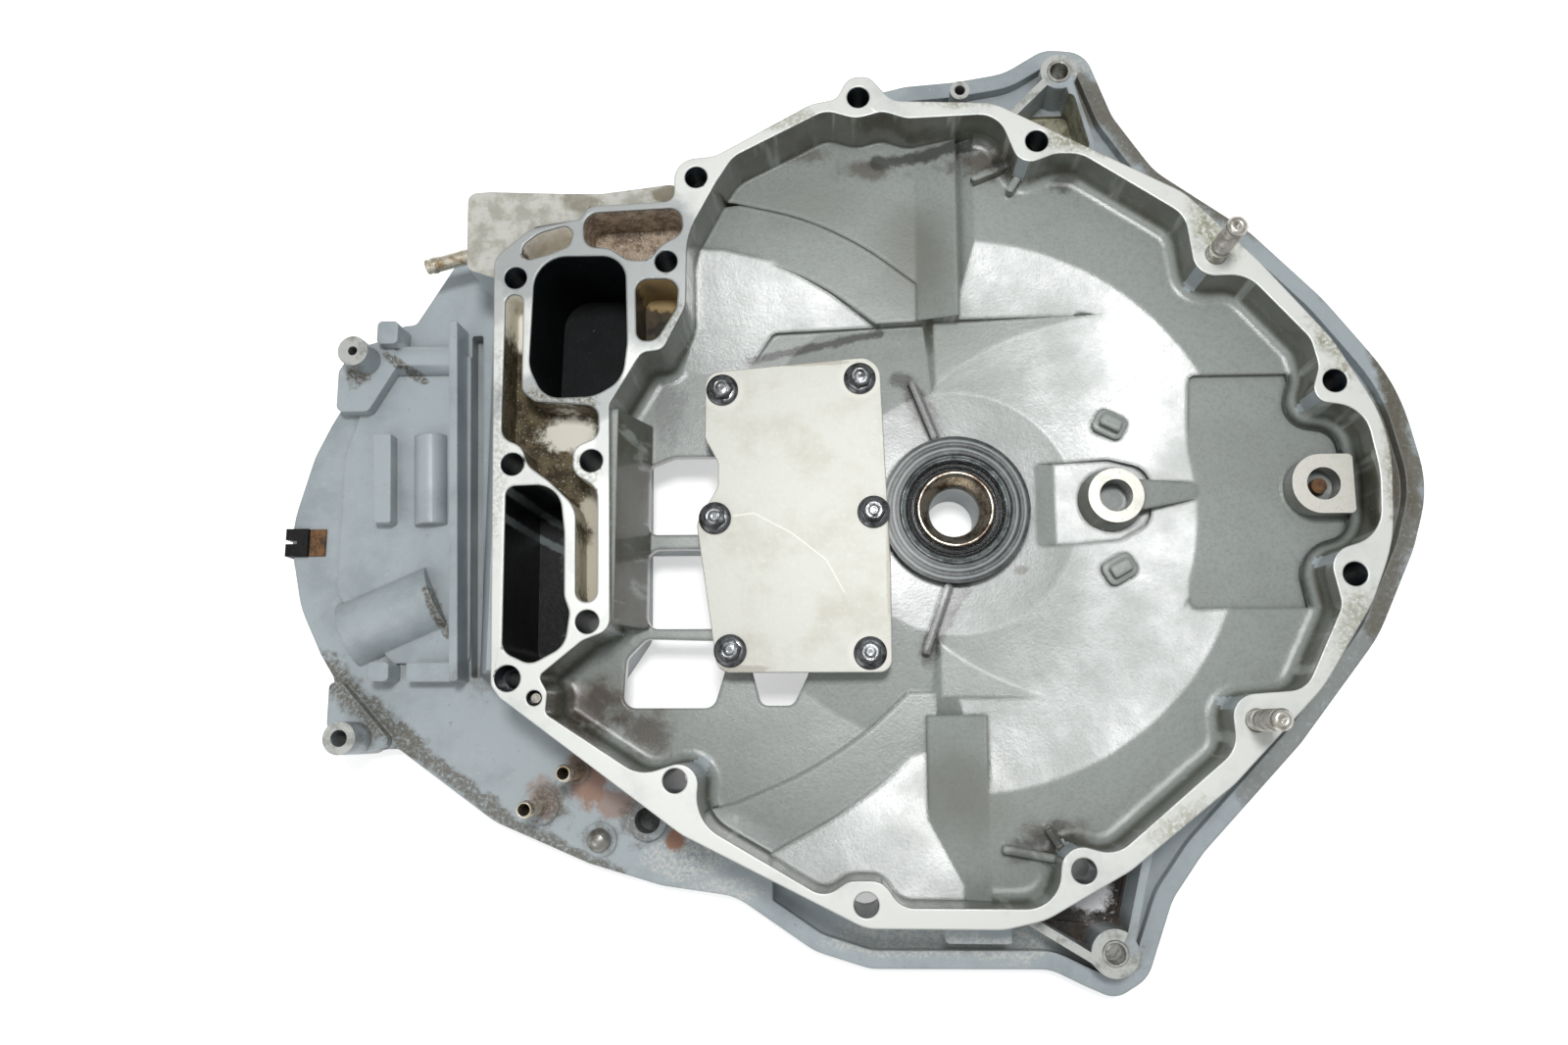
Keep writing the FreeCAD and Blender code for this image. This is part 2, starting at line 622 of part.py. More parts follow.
def ground_forms():
    """The cast relief of the cavity floor, in which the windows are opened."""
    near, hub = size("near_floor"), size("hub_floor")
    mound = doc.addObject("Part::Cone", "mound")
    bind(
        mound, Radius1="<mound_radius>", Radius2="<dish_floor_radius>",
        Height="<hub_floor> - <near_floor>",
    )
    lift(mound, "<near_floor>")
    low_x, high_x = MOUND_SIDE
    near_side = side_profile(
        "mound_side", [(low_x, near), (high_x, near), (high_x, hub), (low_x, hub)], -OUT, 2 * OUT
    )
    # the inside of the block wall leans in over the windows
    foot, head, back = INNER_LEAN["foot_x"], INNER_LEAN["head_x"], INNER_LEAN["back_x"]
    low_y, high_y = INNER_LEAN["y"]
    top = size("plate_height") - size("lean_drop")
    ramps = []
    for name, (ramp_foot, ramp_head, rise, (from_y, to_y)) in TERRACE_RAMPS.items():
        ramps.append(
            side_profile(
                name,
                [(ramp_foot, near), (ramp_foot, near + size(rise)), (ramp_head, size("far_floor")),
                 (ramp_head, near)],
                from_y, to_y - from_y,
            )
        )
    return ramps + [
        common("mound_near", [mound, near_side]),
        prism("outer_terrace", OUTER_TERRACE, "<near_floor>", "<outer_terrace_rise>"),
        prism("inner_terrace", INNER_TERRACE, "<near_floor>", "<inner_terrace_rise>"),
        prism("lower_terrace", LOWER_TERRACE, "<near_floor>", "<lower_terrace_rise>"),
        facet("inner_facet", INNER_FACET, size("inner_facet_rise")),
        facet("lower_facet", LOWER_FACET, size("lower_terrace_rise")),
        side_profile(
            "inner_lean", [(back, near), (foot, near), (head, top), (back, top)],
            low_y, high_y - low_y,
        ),
    ]


def floor_forms():
    """What stands up from the cavity floor: hub, bosses, pad and ribs."""
    near, dish = "<near_floor>", "<hub_floor>"
    seat_height = "<cover_seat_level> - <near_floor>"
    boss = doc.addObject("Part::Cone", "bush_boss")
    boss.Placement = Placement(Vector(*BUSH_PLACE, 0), Rotation())
    bind(
        boss, Radius1="<bush_boss_foot_dia> / 2", Radius2="<bush_boss_dia> / 2",
        Height="<bush_level> - <near_floor>",
    )
    lift(boss, near)
    low_level = size("hub_floor") + 1
    wedge_run = side_profile(
        "wedge_run", WEDGE_TOP + [(WEDGE_TOP[-1][0], low_level), (WEDGE_TOP[0][0], low_level)],
        -OUT, 2 * OUT,
    )
    wedge_blank = prism("wedge_blank", BUSH_WEDGE, dish, "<plate_height> - <hub_floor>")
    items = [
        cylinder("hub", 0, 0, near, "<hub_dia>", "<hub_floor> + <hub_rise> - <near_floor>"),
        boss,
        common("bush_wedge", [wedge_run, wedge_blank]),
        prism(
            "far_pad", FAR_PAD, "<panel_floor> - 1", "<pad_level> - <panel_floor> + 1"
        ),
    ]
    for name, ((x, y), degrees) in LIFTERS.items():
        way = Rotation(Vector(0, 0, 1), degrees).multVec(Vector(0.5, 0, 0))
        for part, corner_radius in (("lifter", 1), ("lifter_foot", 3)):
            reach = way * size(part + "_length")
            items.append(
                strip(
                    name if part == "lifter" else name + "_foot",
                    (x - reach.x, y - reach.y), (x + reach.x, y + reach.y), size(part + "_width"),
                    dish, "<%s_level> - <hub_floor>" % part, corner_radius,
                )
            )
    for name, (start, end, level, foot) in FLOOR_RIBS.items():
        items.append(
            strip(name, start, end, size("rib_thickness"), foot, "%s - (%s)" % (level, foot))
        )
    for number, (x, y) in enumerate(COVER_BOLT_PLACES, start=1):
        items.append(
            cylinder("seat_boss_%d" % number, x, y, near, "<seat_boss_dia>", seat_height)
        )
    # a thin wall under the edge of the cover
    for number, (start, end) in enumerate(zip(SEAT_LINE, SEAT_LINE[1:]), start=1):
        items.append(
            strip("seat_wall_%d" % number, start, end, size("seat_wall"), near, seat_height)
        )
    return items


LUG_POCKETS = {
    "lug_pocket_top": [(40, 184, 2), (56, 184, 3), (63, 155, 3), (34, 168, 3)],
    "lug_pocket_bottom": [
        (41, -148, 4), (57, -140, 4), (68, -140, 4), (63, -160, 4), (50, -164, 3), (36, -163, 3),
    ],
}
ARCH_GAP = ((-206, 84), (-200, -66))
# Round forms outside the walls: x, y, diameter and top level
OUTSIDE_ROUNDS = {
    "lug_top": (*LUG_PLACES["top"], 16, "<lug_level>"),
    "lug_top_small": (*SMALL_LUG_PLACE, 8.6, "<lug_level>"),
    "lug_bottom": (*LUG_PLACES["bottom"], 18.5, "<lug_level>"),
    "lug_left_upper": (*LEFT_UPPER_PLACE, 12.8, "<left_lug_level>"),
    "lug_left_lower": (*LEFT_LOWER_PLACE, 13.4, "<left_lug_level>"),
    "collar_nipple_upper": (*NIPPLE_PLACES["nipple_upper"], 10, "<rim_height> + <collar_height>"),
    "collar_nipple_lower": (*NIPPLE_PLACES["nipple_lower"], 15.5, "<rim_height> + <collar_height>"),
    "collar_socket": (*SOCKET_PLACE, 16, "<rim_height> + 2 * <collar_height>"),
    "collar_plug": (*PLUG_PLACE, 14, "<rim_height> + <collar_height> / 2"),
}
# Straight ribs outside the walls: start, end and top level
OUTSIDE_RIBS = {
    "rib_top_1": ((45, 191), (14, 160), "<lug_level>"),
    "rib_top_2": ((54, 190), (68, 140), "<lug_level>"),
    "rib_bottom_1": ((64, -168), (76, -120), "<lug_level>"),
    "rib_bottom_2": ((52, -176), (18, -156), "<lug_level>"),
    "arch_bar": ((-212, 86), (-205, -68), "<rim_height> + <arch_bar_rise>"),
}
# Blocks outside the walls: corners and top level
OUTSIDE_BLOCKS = {
    "tab": (
        [(-7, -155, 1), (18.5, -155, 1), (18.5, -169, 1.5), (-7, -169, 1.5)],
        "<lug_level> + <arch_floor_rise>",
    ),
    "arch_post_upper": (
        [(-245, 86, 2), (-236, 86, 2), (-236, 76, 2), (-245, 76, 2)],
        "<rim_height> + <arch_bar_rise>",
    ),
    "arch_post_lower": (
        [(-242, -60, 2), (-233, -60, 2), (-233, -68, 2), (-242, -68, 2)],
        "<rim_height> + <arch_bar_rise> - 2",
    ),
    "arch_foot_lower": (
        [(-227, -60, 1), (-208, -60, 1), (-208, -68, 1), (-227, -68, 1)],
        "<rim_height> + <arch_box_rise>",
    ),
    "arch_box": (
        [(-247, 38, 1), (-239, 38, 1), (-237, -1, 1), (-244.5, -1, 1)],
        "<rim_height> + <arch_box_rise>",
    ),
    "arch_floor": (
        [(-248, 74, 3), (-206, 74, 3), (-203, -60, 3), (-236, -60, 3), (-262, -30, 12), (-262, 30, 12)],
        "<rim_height> + <arch_floor_rise>",
    ),
    "web_left_upper": (
        [(-264, 66, 3), (-258, 76, 3), (-244, 80, 3), (-236, 72, 3), (-250, 48, 3), (-264, 48, 3)],
        "<rim_height> + <arch_web_rise>",
    ),
    "web_left_lower": (
        [(-261, -86, 3), (-248, -97, 3), (-232, -94, 3), (-256, -68, 3), (-261, -68, 3)],
        "<rim_height> + <arch_web_rise> - 3",
    ),
}
# Half-round ribs on the arch: start, direction, length and radius
HALF_ROUNDS = {
    "arch_round_upper": (Vector(-240, 72, 17), Vector(1, 0, 0), 30, 6.5),
    "arch_round_box": (Vector(-224, 38, 16), Vector(0.05, -1, 0), 39, 7),
    "arch_cylinder": (Vector(-256, -48, 10), Vector(0.92, 0.40, 0), 41, 15),
}
# The half-rounds stop this far above the engine face
HALF_ROUND_CLEAR = "1"


def outside_forms():
    """Lugs, ribs, arch, bosses and tab around the walls."""
    items = []
    for name, (x, y, diameter, level) in OUTSIDE_ROUNDS.items():
        items.append(cylinder(name, x, y, "0", str(diameter), level))
    for name, (start, end, level) in OUTSIDE_RIBS.items():
        items.append(strip(name, start, end, size("outside_rib_thickness"), "0", level))
    for name, (corners, level) in OUTSIDE_BLOCKS.items():
        items.append(prism(name, corners, "0", level))
    for name, (start, way, length, radius) in HALF_ROUNDS.items():
        item = doc.addObject("Part::Cylinder", name)
        item.Radius = radius
        item.Height = length
        item.Placement = Placement(start, Rotation(Vector(0, 0, 1), way))
        above_rest = prism(name + "_reach", RIM_EDGE, HALF_ROUND_CLEAR, "<plate_height>")
        items.append(common(name + "_half", [item, above_rest]))
    return items


def round_cut(name, x, y, diameter, level, top):
    """A cutting cylinder between two levels."""
    return cylinder(name, x, y, level, diameter, "(%s) - (%s)" % (top, level))


def holes():
    """Everything that is drilled, cored or pocketed after the walls are joined."""
    below, above = "0 - <cut_over>", "<plate_height> + <cut_over>"
    tools = []
    for name, (x, y) in BOLT_HOLES.items():
        tools.append(round_cut("hole_" + name, x, y, "<bolt_hole_dia>", below, above))
    for name, (x, y, level) in RELIEVED_HOLES.items():
        tools.append(round_cut("hole_" + name, x, y, "<bolt_hole_dia>", below, above))
        tools.append(round_cut("relief_" + name, x, y, "<relief_dia>", below, level))
    for name, (x, y) in STUD_PLACES.items():
        tools.append(
            round_cut(
                "hole_" + name, x, y, "<stud_dia> + 2 * <press_gap>",
                "<plate_height> - <stud_depth>", above,
            )
        )
    for number, (x, y) in enumerate(COVER_BOLT_PLACES, start=1):
        tools.append(
            round_cut(
                "hole_cover_bolt_%d" % number, x, y, "<cover_bolt_dia> + 2 * <press_gap>",
                "<cover_seat_level> - <cover_bolt_depth>", "<cover_seat_level> + <cut_over>",
            )
        )
    for name, (x, y) in NIPPLE_PLACES.items():
        tools.append(
            round_cut(
                "hole_" + name, x, y, "<nipple_dia> + 2 * <press_gap>",
                "<rim_height> + <collar_height> - <nipple_depth>", "<plate_height>",
            )
        )
    tools.append(
        round_cut(
            "hole_plug", *PLUG_PLACE, "<plug_shank_dia>", "<rim_height> - <plug_depth>",
            "<plate_height>",
        )
    )
    tools.append(
        round_cut("hole_socket", *SOCKET_PLACE, "<socket_dia>", "<socket_level>", "<plate_height>")
    )
    tools.append(
        round_cut(
            "step_bore", *STEP_BORE_PLACE, "<step_bore_dia>",
            "<plate_height> - <step_bore_depth>", above,
        )
    )
    tools.append(round_cut("step_hole", *STEP_BORE_PLACE, "<step_hole_dia>", below, above))
    tools.append(
        round_cut(
            "hole_pin", *PIN_PLACE, "<pin_dia> + 2 * <press_gap>",
            "<plate_height> - <pin_recess> - <pin_length>", above,
        )
    )
    tools.append(
        round_cut(
            "pin_mouth", *PIN_PLACE, "<pin_mouth_dia>", "<plate_height> - <pin_mouth_depth>", above
        )
    )
    side_hole = doc.addObject("Part::Cylinder", "hole_nipple_side")
    bind(side_hole, Radius="<nipple_dia> / 2 + <press_gap>", Height="<nipple_depth> + <nipple_stand>")
    side_hole.Placement = Placement(
        SIDE_NIPPLE_SEAT - SIDE_NIPPLE_WAY * size("nipple_depth"),
        Rotation(Vector(0, 0, 1), SIDE_NIPPLE_WAY),
    )
    tools.append(side_hole)
    tools.append(
        round_cut("hole_bush", *BUSH_PLACE, "<bush_bore>", "<bush_level> - <bush_depth>", above)
    )
    tools.append(
        round_cut("hole_pad", *PAD_PLACE, "<pad_hole_dia>", "<pad_level> - <pad_hole_depth>", above)
    )
    tools.append(
        round_cut(
            "hole_pad_bolt", *PAD_PLACE, "<pad_bolt_dia> + 2 * <press_gap>",
            "<pad_level> - <pad_hole_depth> - <pad_bolt_drop>", above,
        )
    )
    tools.append(round_cut("shaft_bore", 0, 0, "<shaft_bore_dia>", below, above))
    tools.append(
        round_cut(
            "seal_bore", 0, 0, "<seal_dia> + 2 * <press_gap>",
            "<hub_floor> + <hub_rise> - <seal_depth>", above,
        )
    )
    lug_holes = {
        "lug_top": (*LUG_PLACES["top"], LUG_BORE, below),
        "lug_top_small": (*SMALL_LUG_PLACE, "<small_lug_hole_dia>", "<small_lug_hole_level>"),
        "lug_bottom": (*LUG_PLACES["bottom"], LUG_BORE, below),
        "lug_left_upper": (*LEFT_UPPER_PLACE, "<left_upper_hole_dia>", "<left_upper_hole_level>"),
        "lug_left_lower": (*LEFT_LOWER_PLACE, "<left_lower_hole_dia>", below),
    }
    for name, (x, y, diameter, level) in lug_holes.items():
        tools.append(round_cut("hole_" + name, x, y, diameter, level, above))
    ports = {
        "kidney_port": (KIDNEY_PORT, "<plate_height> - <kidney_depth>"),
        "oil_pocket": (OIL_POCKET, "<plate_height> - <oil_pocket_depth>"),
        "exhaust_port": (EXHAUST_PORT, "<port_floor>"),
        "taper_pocket": (TAPER_POCKET, "<plate_height> - <taper_pocket_depth>"),
        "water_port": (WATER_PORT, "<plate_height> - <water_port_depth>"),
        "lower_port": (LOWER_PORT, "<port_floor>"),
    }
    for name, (corners, level) in ports.items():
        tools.append(prism(name, corners, level, "%s - %s" % (above, "(%s)" % level)))
    for name, corners in LUG_POCKETS.items():
        tools.append(prism(name, corners, "<lug_pocket_level>", "<plate_height>"))
    tools.append(
        strip("arch_gap", *ARCH_GAP, size("lip_width") - 2, "<arch_gap_level>", "<plate_height>")
    )
    tools.append(
        prism("arch_pocket", ARCH_POCKET, below, "<rim_height> - <floor_thickness> + <cut_over>")
    )
    return tools


def adapter_casting():
    """The whole casting: hollowed walls, floor relief, windows, bosses and ribs, then holes."""
    hollow = cut("hollow", casting_blank(), fuse("cavity", cavity_tools()))
    ground = fuse("ground", [hollow] + ground_forms())
    openings = [
        prism(name, corners, "0", "<cover_seat_level>") for name, corners in WINDOWS.items()
    ]
    opened = cut("opened", ground, fuse("openings", openings + [engine_side_tools()]))
    whole = fuse("whole", [opened] + floor_forms() + outside_forms())
    return cut("adapter_casting", whole, fuse("hole_tools", holes()))


def placed(x, y, z):
    """A placement at a point, upright."""
    return Placement(Vector(x, y, z), Rotation())


def cover_plate():
    """The flat cover with six clearance holes and softened top edges."""
    blank = prism("cover_blank", COVER_EDGE, "<cover_seat_level>", "<cover_thickness>")
    tools = [
        round_cut(
            "cover_hole_%d" % number, x, y, "<cover_hole_dia>",
            "<cover_seat_level> - <cut_over>", "<cover_seat_level> + <cover_thickness> + <cut_over>",
        )
        for number, (x, y) in enumerate(COVER_BOLT_PLACES, start=1)
    ]
    return cut("cover_plate", blank, fuse("cover_holes", tools))


def cover_bolt(number, x, y):
    """A flanged hexagon bolt with a dished head."""
    name = "cover_bolt_%d" % number
    face = "<cover_seat_level> + <cover_thickness>"
    flange = cylinder(name + "_flange", x, y, face, "<bolt_flange_dia>", "<bolt_flange_thickness>")
    hexagon = doc.addObject("Part::Prism", name + "_hexagon")
    hexagon.Polygon = 6
    hexagon.Placement = Placement(Vector(x, y, 0), Rotation(Vector(0, 0, 1), 17 * number))
    bind(hexagon, Circumradius="<bolt_hex_width> / sqrt(3)", Height="<bolt_head_height>")
    lift(hexagon, face)
    crown = doc.addObject("Part::Cone", name + "_crown")
    crown.Placement = placed(x, y, 0)
    bind(
        crown, Radius1="<bolt_hex_width> / 2 + <bolt_head_height>", Radius2="<bolt_hex_width> / 2",
        Height="<bolt_head_height>",
    )
    lift(crown, face)
    head = common(name + "_head", [hexagon, crown])
    shank = cylinder(
        name + "_shank", x, y, "<cover_seat_level> - <cover_bolt_depth> + <bolt_end_room>",
        "<cover_bolt_dia>", "<cover_bolt_depth> - <bolt_end_room> + <cover_thickness> + 0.5",
    )
    dish = round_cut(
        name + "_dish", x, y, "<bolt_dish_dia>", face + " + <bolt_head_height> - <bolt_dish_depth>",
        "<plate_height>",
    )
    return cut(name, fuse(name + "_solid", [flange, head, shank]), dish)


def stud(name, x, y):
    """A stud with a relief ring at the gasket face and a centre mark in its end."""
    radius, neck = size("stud_dia") / 2, size("stud_neck_dia") / 2
    chamfer, stand = size("stud_chamfer"), size("stud_stand")
    foot = size("stud_depth") - 1
    mark = 1
    profile = [
        (0, -foot), (radius - chamfer, -foot), (radius, chamfer - foot), (radius, 1.5),
        (neck, 2.3), (neck, 4.3), (radius, 5.1), (radius, stand - chamfer),
        (radius - chamfer, stand), (mark, stand), (0, stand - mark),
    ]
    return turned(name, profile, placed(x, y, size("plate_height")))


def nipple(name, seat, way):
    """A thin hose nipple with a low bead, pressed into its hole."""
    radius, bore = size("nipple_dia") / 2, size("nipple_bore") / 2
    bead, stand, foot = size("nipple_bead"), size("nipple_stand"), size("nipple_depth") - 1
    bead_from = stand - 5
    profile = [
        (bore, -foot), (radius, -foot), (radius, bead_from), (radius + bead, bead_from + 0.8),
        (radius + bead, bead_from + 2.2), (radius, bead_from + 3), (radius, stand - 0.4),
        (radius - 0.3, stand), (bore, stand),
    ]
    return turned(name, profile, Placement(seat, Rotation(Vector(0, 0, 1), way)))


def round_plug():
    """A plug with a domed head on the shelf beside the nipples."""
    radius, stand = size("plug_dia") / 2, size("plug_stand")
    shank = size("plug_shank_dia") / 2 - size("press_gap")
    foot = size("plug_depth") + size("collar_height") / 2 - 1
    brim, steps = size("plug_brim"), 6
    turns = [math.pi / 2 * i / steps for i in range(steps)]
    dome = [(radius * math.cos(turn), brim + (stand - brim) * math.sin(turn)) for turn in turns]
    profile = [(0, -foot), (shank, -foot), (shank, 0), (radius, 0)] + dome + [(0, stand)]
    return turned(
        "shelf_plug", profile, placed(*PLUG_PLACE, size("rim_height") + size("collar_height") / 2)
    )


def seal_pieces():
    """The driveshaft seal: its case, its ribbed rubber and the bright sleeve."""
    depth = size("seal_depth")
    outer, gap = size("seal_dia") / 2, size("press_gap")
    inner = outer - size("seal_wall")
    sleeve = size("sleeve_dia") / 2
    bore = size("shaft_bore_dia") / 2 + 0.3
    place = placed(0, 0, size("hub_floor") + size("hub_rise") - depth)
    case = turned(
        "seal_case",
        [(inner, 0), (outer, 0), (outer, depth - 0.6), (outer - 0.6, depth), (inner + 0.8, depth),
         (inner, depth - 0.8)],
        place,
    )
    rib = (inner - gap - sleeve - gap) / 5
    low, high = depth - 2.2, depth - 1.2
    ribs = [(sleeve + gap + i * rib, high if i % 2 else low) for i in range(5, -1, -1)]
    rubber = turned(
        "seal_rubber", [(sleeve + gap, 0), (inner - gap, 0)] + ribs, place
    )
    top = depth + size("sleeve_rise")
    wall = size("sleeve_wall")
    ring = turned(
        "seal_sleeve",
        [(bore, 0), (sleeve, 0), (sleeve, top - 0.5), (sleeve - 0.5, top),
         (sleeve - wall + 0.4, top), (sleeve - wall, top - 0.4), (sleeve - wall, 6.5), (bore, 1.5)],
        place,
    )
    return [case, rubber, ring]


def lug_bushes():
    """The plain bushes in the two long lugs."""
    bore = size("lug_hole_dia") / 2
    wall, height = size("lug_bush_wall"), size("lug_level")
    profile = [
        (bore, 0.5), (bore + wall, 0.5), (bore + wall, height + 0.2), (bore + wall - 0.3, height + 0.5),
        (bore + 0.3, height + 0.5), (bore, height + 0.2),
    ]
    return [
        turned("lug_bush_" + name, profile, placed(x, y, 0)) for name, (x, y) in LUG_PLACES.items()
    ]


def rim_clip():
    """The black clip over the arch's edge, with a slot, and the steel tongue beside it."""
    top, wall = size("rim_height"), size("clip_wall")
    foot = top - size("clip_drop")
    edge, back = CLIP_PLACE["edge_x"], CLIP_PLACE["back_x"]
    low_y, high_y = CLIP_PLACE["y"]
    body = side_profile(
        "clip_body",
        [(edge - wall, foot), (edge, foot), (edge, top), (back, top), (back, top + wall),
         (edge - wall, top + wall)],
        low_y, high_y - low_y,
    )
    slot = doc.addObject("Part::Box", "clip_slot")
    slot.Length, slot.Width, slot.Height = 6, 1.8, 40
    slot.Placement = placed(edge - wall - 1, low_y + 5.4, 0)
    clip = cut("rim_clip", body, slot)
    tongue = doc.addObject("Part::Box", "rim_clip_tongue")
    tongue.Length, tongue.Width = 7, 11.6
    bind(tongue, Height="<clip_wall> / 2")
    tongue.Placement = placed(back + 0.4, low_y + 0.2, 0)
    lift(tongue, "<rim_height>")
    return [clip, tongue]


def pin_and_bolt():
    """The recessed pin beside the stepped bore and the bolt end in the far pad."""
    pin = cylinder(
        "locating_pin", *PIN_PLACE, "<plate_height> - <pin_recess> - <pin_length> + 0.5",
        "<pin_dia>", "<pin_length> - 0.5",
    )
    bolt = cylinder(
        "pad_bolt", *PAD_PLACE, "<pad_level> - <pad_hole_depth> - <pad_bolt_drop> + 0.5",
        "<pad_bolt_dia>", "<pad_hole_depth> - 0.5",
    )
    return [pin, bolt]


def all_pieces():
    """Every piece, in the order in which it is written."""
    pieces = [adapter_casting(), cover_plate()]
    for number, (x, y) in enumerate(COVER_BOLT_PLACES, start=1):
        pieces.append(cover_bolt(number, x, y))
    for name, (x, y) in STUD_PLACES.items():
        pieces.append(stud(name, x, y))
    collar = size("rim_height") + size("collar_height")
    for name, (x, y) in NIPPLE_PLACES.items():
        pieces.append(nipple(name, Vector(x, y, collar), Vector(0, 0, 1)))
    pieces.append(nipple("nipple_side", SIDE_NIPPLE_SEAT, SIDE_NIPPLE_WAY))
    pieces.append(round_plug())
    return pieces + seal_pieces() + lug_bushes() + rim_clip() + pin_and_bolt()


pieces = all_pieces()
doc.recompute()
broken = [item.Name for item in doc.Objects if "Invalid" in item.State or "Error" in item.State]
if broken:
    raise RuntimeError("not built: %s" % ", ".join(broken))
os.makedirs("parts", exist_ok=True)
for piece in pieces:
    shape = piece.Shape
    if shape.isNull() or not shape.isValid() or len(shape.Solids) != 1:
        raise RuntimeError("%s is not one valid solid" % piece.Name)
    piece.Label = piece.Name
    shape.exportStep("parts/%s.step" % piece.Label)
    print(piece.Label, round(shape.Volume))
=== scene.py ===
import math
import bpy
from mathutils import Matrix, Vector

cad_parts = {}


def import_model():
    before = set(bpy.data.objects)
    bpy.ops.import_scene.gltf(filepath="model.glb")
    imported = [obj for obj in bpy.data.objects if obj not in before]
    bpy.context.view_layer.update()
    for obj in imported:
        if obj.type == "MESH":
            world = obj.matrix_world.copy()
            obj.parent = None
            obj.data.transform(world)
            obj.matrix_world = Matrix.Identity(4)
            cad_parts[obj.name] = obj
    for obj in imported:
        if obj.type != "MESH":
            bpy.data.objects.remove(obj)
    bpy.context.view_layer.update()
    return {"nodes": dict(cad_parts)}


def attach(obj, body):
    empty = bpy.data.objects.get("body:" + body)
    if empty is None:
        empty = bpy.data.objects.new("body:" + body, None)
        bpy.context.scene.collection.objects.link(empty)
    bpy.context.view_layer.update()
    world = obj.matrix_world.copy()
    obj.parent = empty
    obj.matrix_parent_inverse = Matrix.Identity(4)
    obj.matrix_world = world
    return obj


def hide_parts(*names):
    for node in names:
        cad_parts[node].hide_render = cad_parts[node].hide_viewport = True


# Exhaust adapter plate of an outboard engine, lying on its engine side.
# Sizes are millimetres in the dictionaries and metres in the scene.
mm = 0.001
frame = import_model()
nodes = frame["nodes"]
print("frame loaded:", len(nodes), "solids")


def deselectAll():
    if bpy.context.object and bpy.context.object.mode != "OBJECT":
        bpy.ops.object.mode_set(mode="OBJECT")
    bpy.ops.object.select_all(action="DESELECT")


def pick(*pieces):
    deselectAll()
    for piece in pieces:
        piece.select_set(True)
    bpy.context.view_layer.objects.active = pieces[0]


def editOn(piece, kind="FACE", chosen=None):
    # edit mode with only the chosen faces selected
    pick(piece)
    bpy.ops.object.mode_set(mode="EDIT")
    bpy.ops.mesh.select_mode(type=kind)
    bpy.ops.mesh.select_all(action="DESELECT")
    if chosen:
        bpy.ops.object.mode_set(mode="OBJECT")
        for face in piece.data.polygons:
            face.select = chosen(face.center / mm, face.normal)
        bpy.ops.object.mode_set(mode="EDIT")


def editOff():
    bpy.ops.object.mode_set(mode="OBJECT")


def settle(piece, name, angle=35):
    # place goes into the mesh, shading is smooth below the angle
    if bpy.context.object and bpy.context.object.mode != "OBJECT":
        editOff()
    pick(piece)
    bpy.ops.object.transform_apply(location=True, rotation=True, scale=True)
    bpy.ops.object.shade_smooth_by_angle(angle=math.radians(angle))
    piece.name = name
    piece.data.name = name
    return piece


def finishMesh(merge=0.00001):
    # in edit mode: doubles merged, then normals outwards
    bpy.ops.mesh.select_all(action="SELECT")
    bpy.ops.mesh.remove_doubles(threshold=merge)
    bpy.ops.mesh.normals_make_consistent(inside=False)


def latheRing(name, centre, profile, sides=64, angle=35, capped=False):
    # a ring drawn out loop by loop from a circle, through (radius, height) points
    deselectAll()
    place = Vector(centre) * mm
    radius, height = profile[0]
    bpy.ops.mesh.primitive_circle_add(
        vertices=sides, radius=radius * mm, location=place + Vector((0, 0, height * mm))
    )
    piece = bpy.context.object
    editOn(piece, "EDGE")
    bpy.ops.mesh.select_all(action="SELECT")
    for nextRadius, nextHeight in profile[1:]:
        bpy.ops.mesh.extrude_edges_move()
        grow = nextRadius / radius
        bpy.ops.transform.resize(value=(grow, grow, 1), center_override=place)
        bpy.ops.transform.translate(value=(0, 0, (nextHeight - height) * mm))
        radius, height = nextRadius, nextHeight
    if capped:
        bpy.ops.mesh.select_all(action="DESELECT")
        bpy.ops.mesh.select_non_manifold()
        bpy.ops.mesh.fill_holes(sides=0)
    else:
        bpy.ops.mesh.select_all(action="DESELECT")
        bpy.ops.mesh.select_non_manifold()
        bpy.ops.mesh.bridge_edge_loops()
    finishMesh()
    return settle(piece, name, angle)


def applied(piece, kind, name, **settings):
    pick(piece)
    modifier = piece.modifiers.new(name, kind)
    for key, value in settings.items():
        setattr(modifier, key, value)
    bpy.ops.object.modifier_apply(modifier=name)


def belongs(piece, slotName, *replaced):
    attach(piece, "root")
    if replaced:
        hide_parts(*replaced)
    return piece


def tone(red, green, blue):
    # screen colour 0 to 255 as the linear colour of a socket
    def linear(value):
        value /= 255
        return value / 12.92 if value < 0.04045 else ((value + 0.055) / 1.055) ** 2.4
    return (linear(red), linear(green), linear(blue), 1)


# Nodes of materials. Each helper returns an output socket of the node it adds.
def put(tree, kind, inputs=None, out=0, **settings):
    node = tree.nodes.new("ShaderNode" + kind)
    for key, value in settings.items():
        setattr(node, key, value)
    for key, value in (inputs or {}).items():
        if isinstance(value, bpy.types.NodeSocket):
            tree.links.new(value, node.inputs[key])
        else:
            node.inputs[key].default_value = value
    return node.outputs[out]


def calc(tree, operation, *values, clamp=False):
    return put(
        tree, "Math", {number: value for number, value in enumerate(values)},
        operation=operation, use_clamp=clamp,
    )


def blendColour(tree, factor, first, second, how="MIX"):
    return put(
        tree, "Mix", {0: factor, 6: first, 7: second}, out=2,
        data_type="RGBA", blend_type=how, clamp_factor=True,
    )


def step(tree, value, low, high, toLow=0.0, toHigh=1.0):
    return put(
        tree, "MapRange", {0: value, 1: low, 2: high, 3: toLow, 4: toHigh},
        interpolation_type="SMOOTHSTEP",
    )


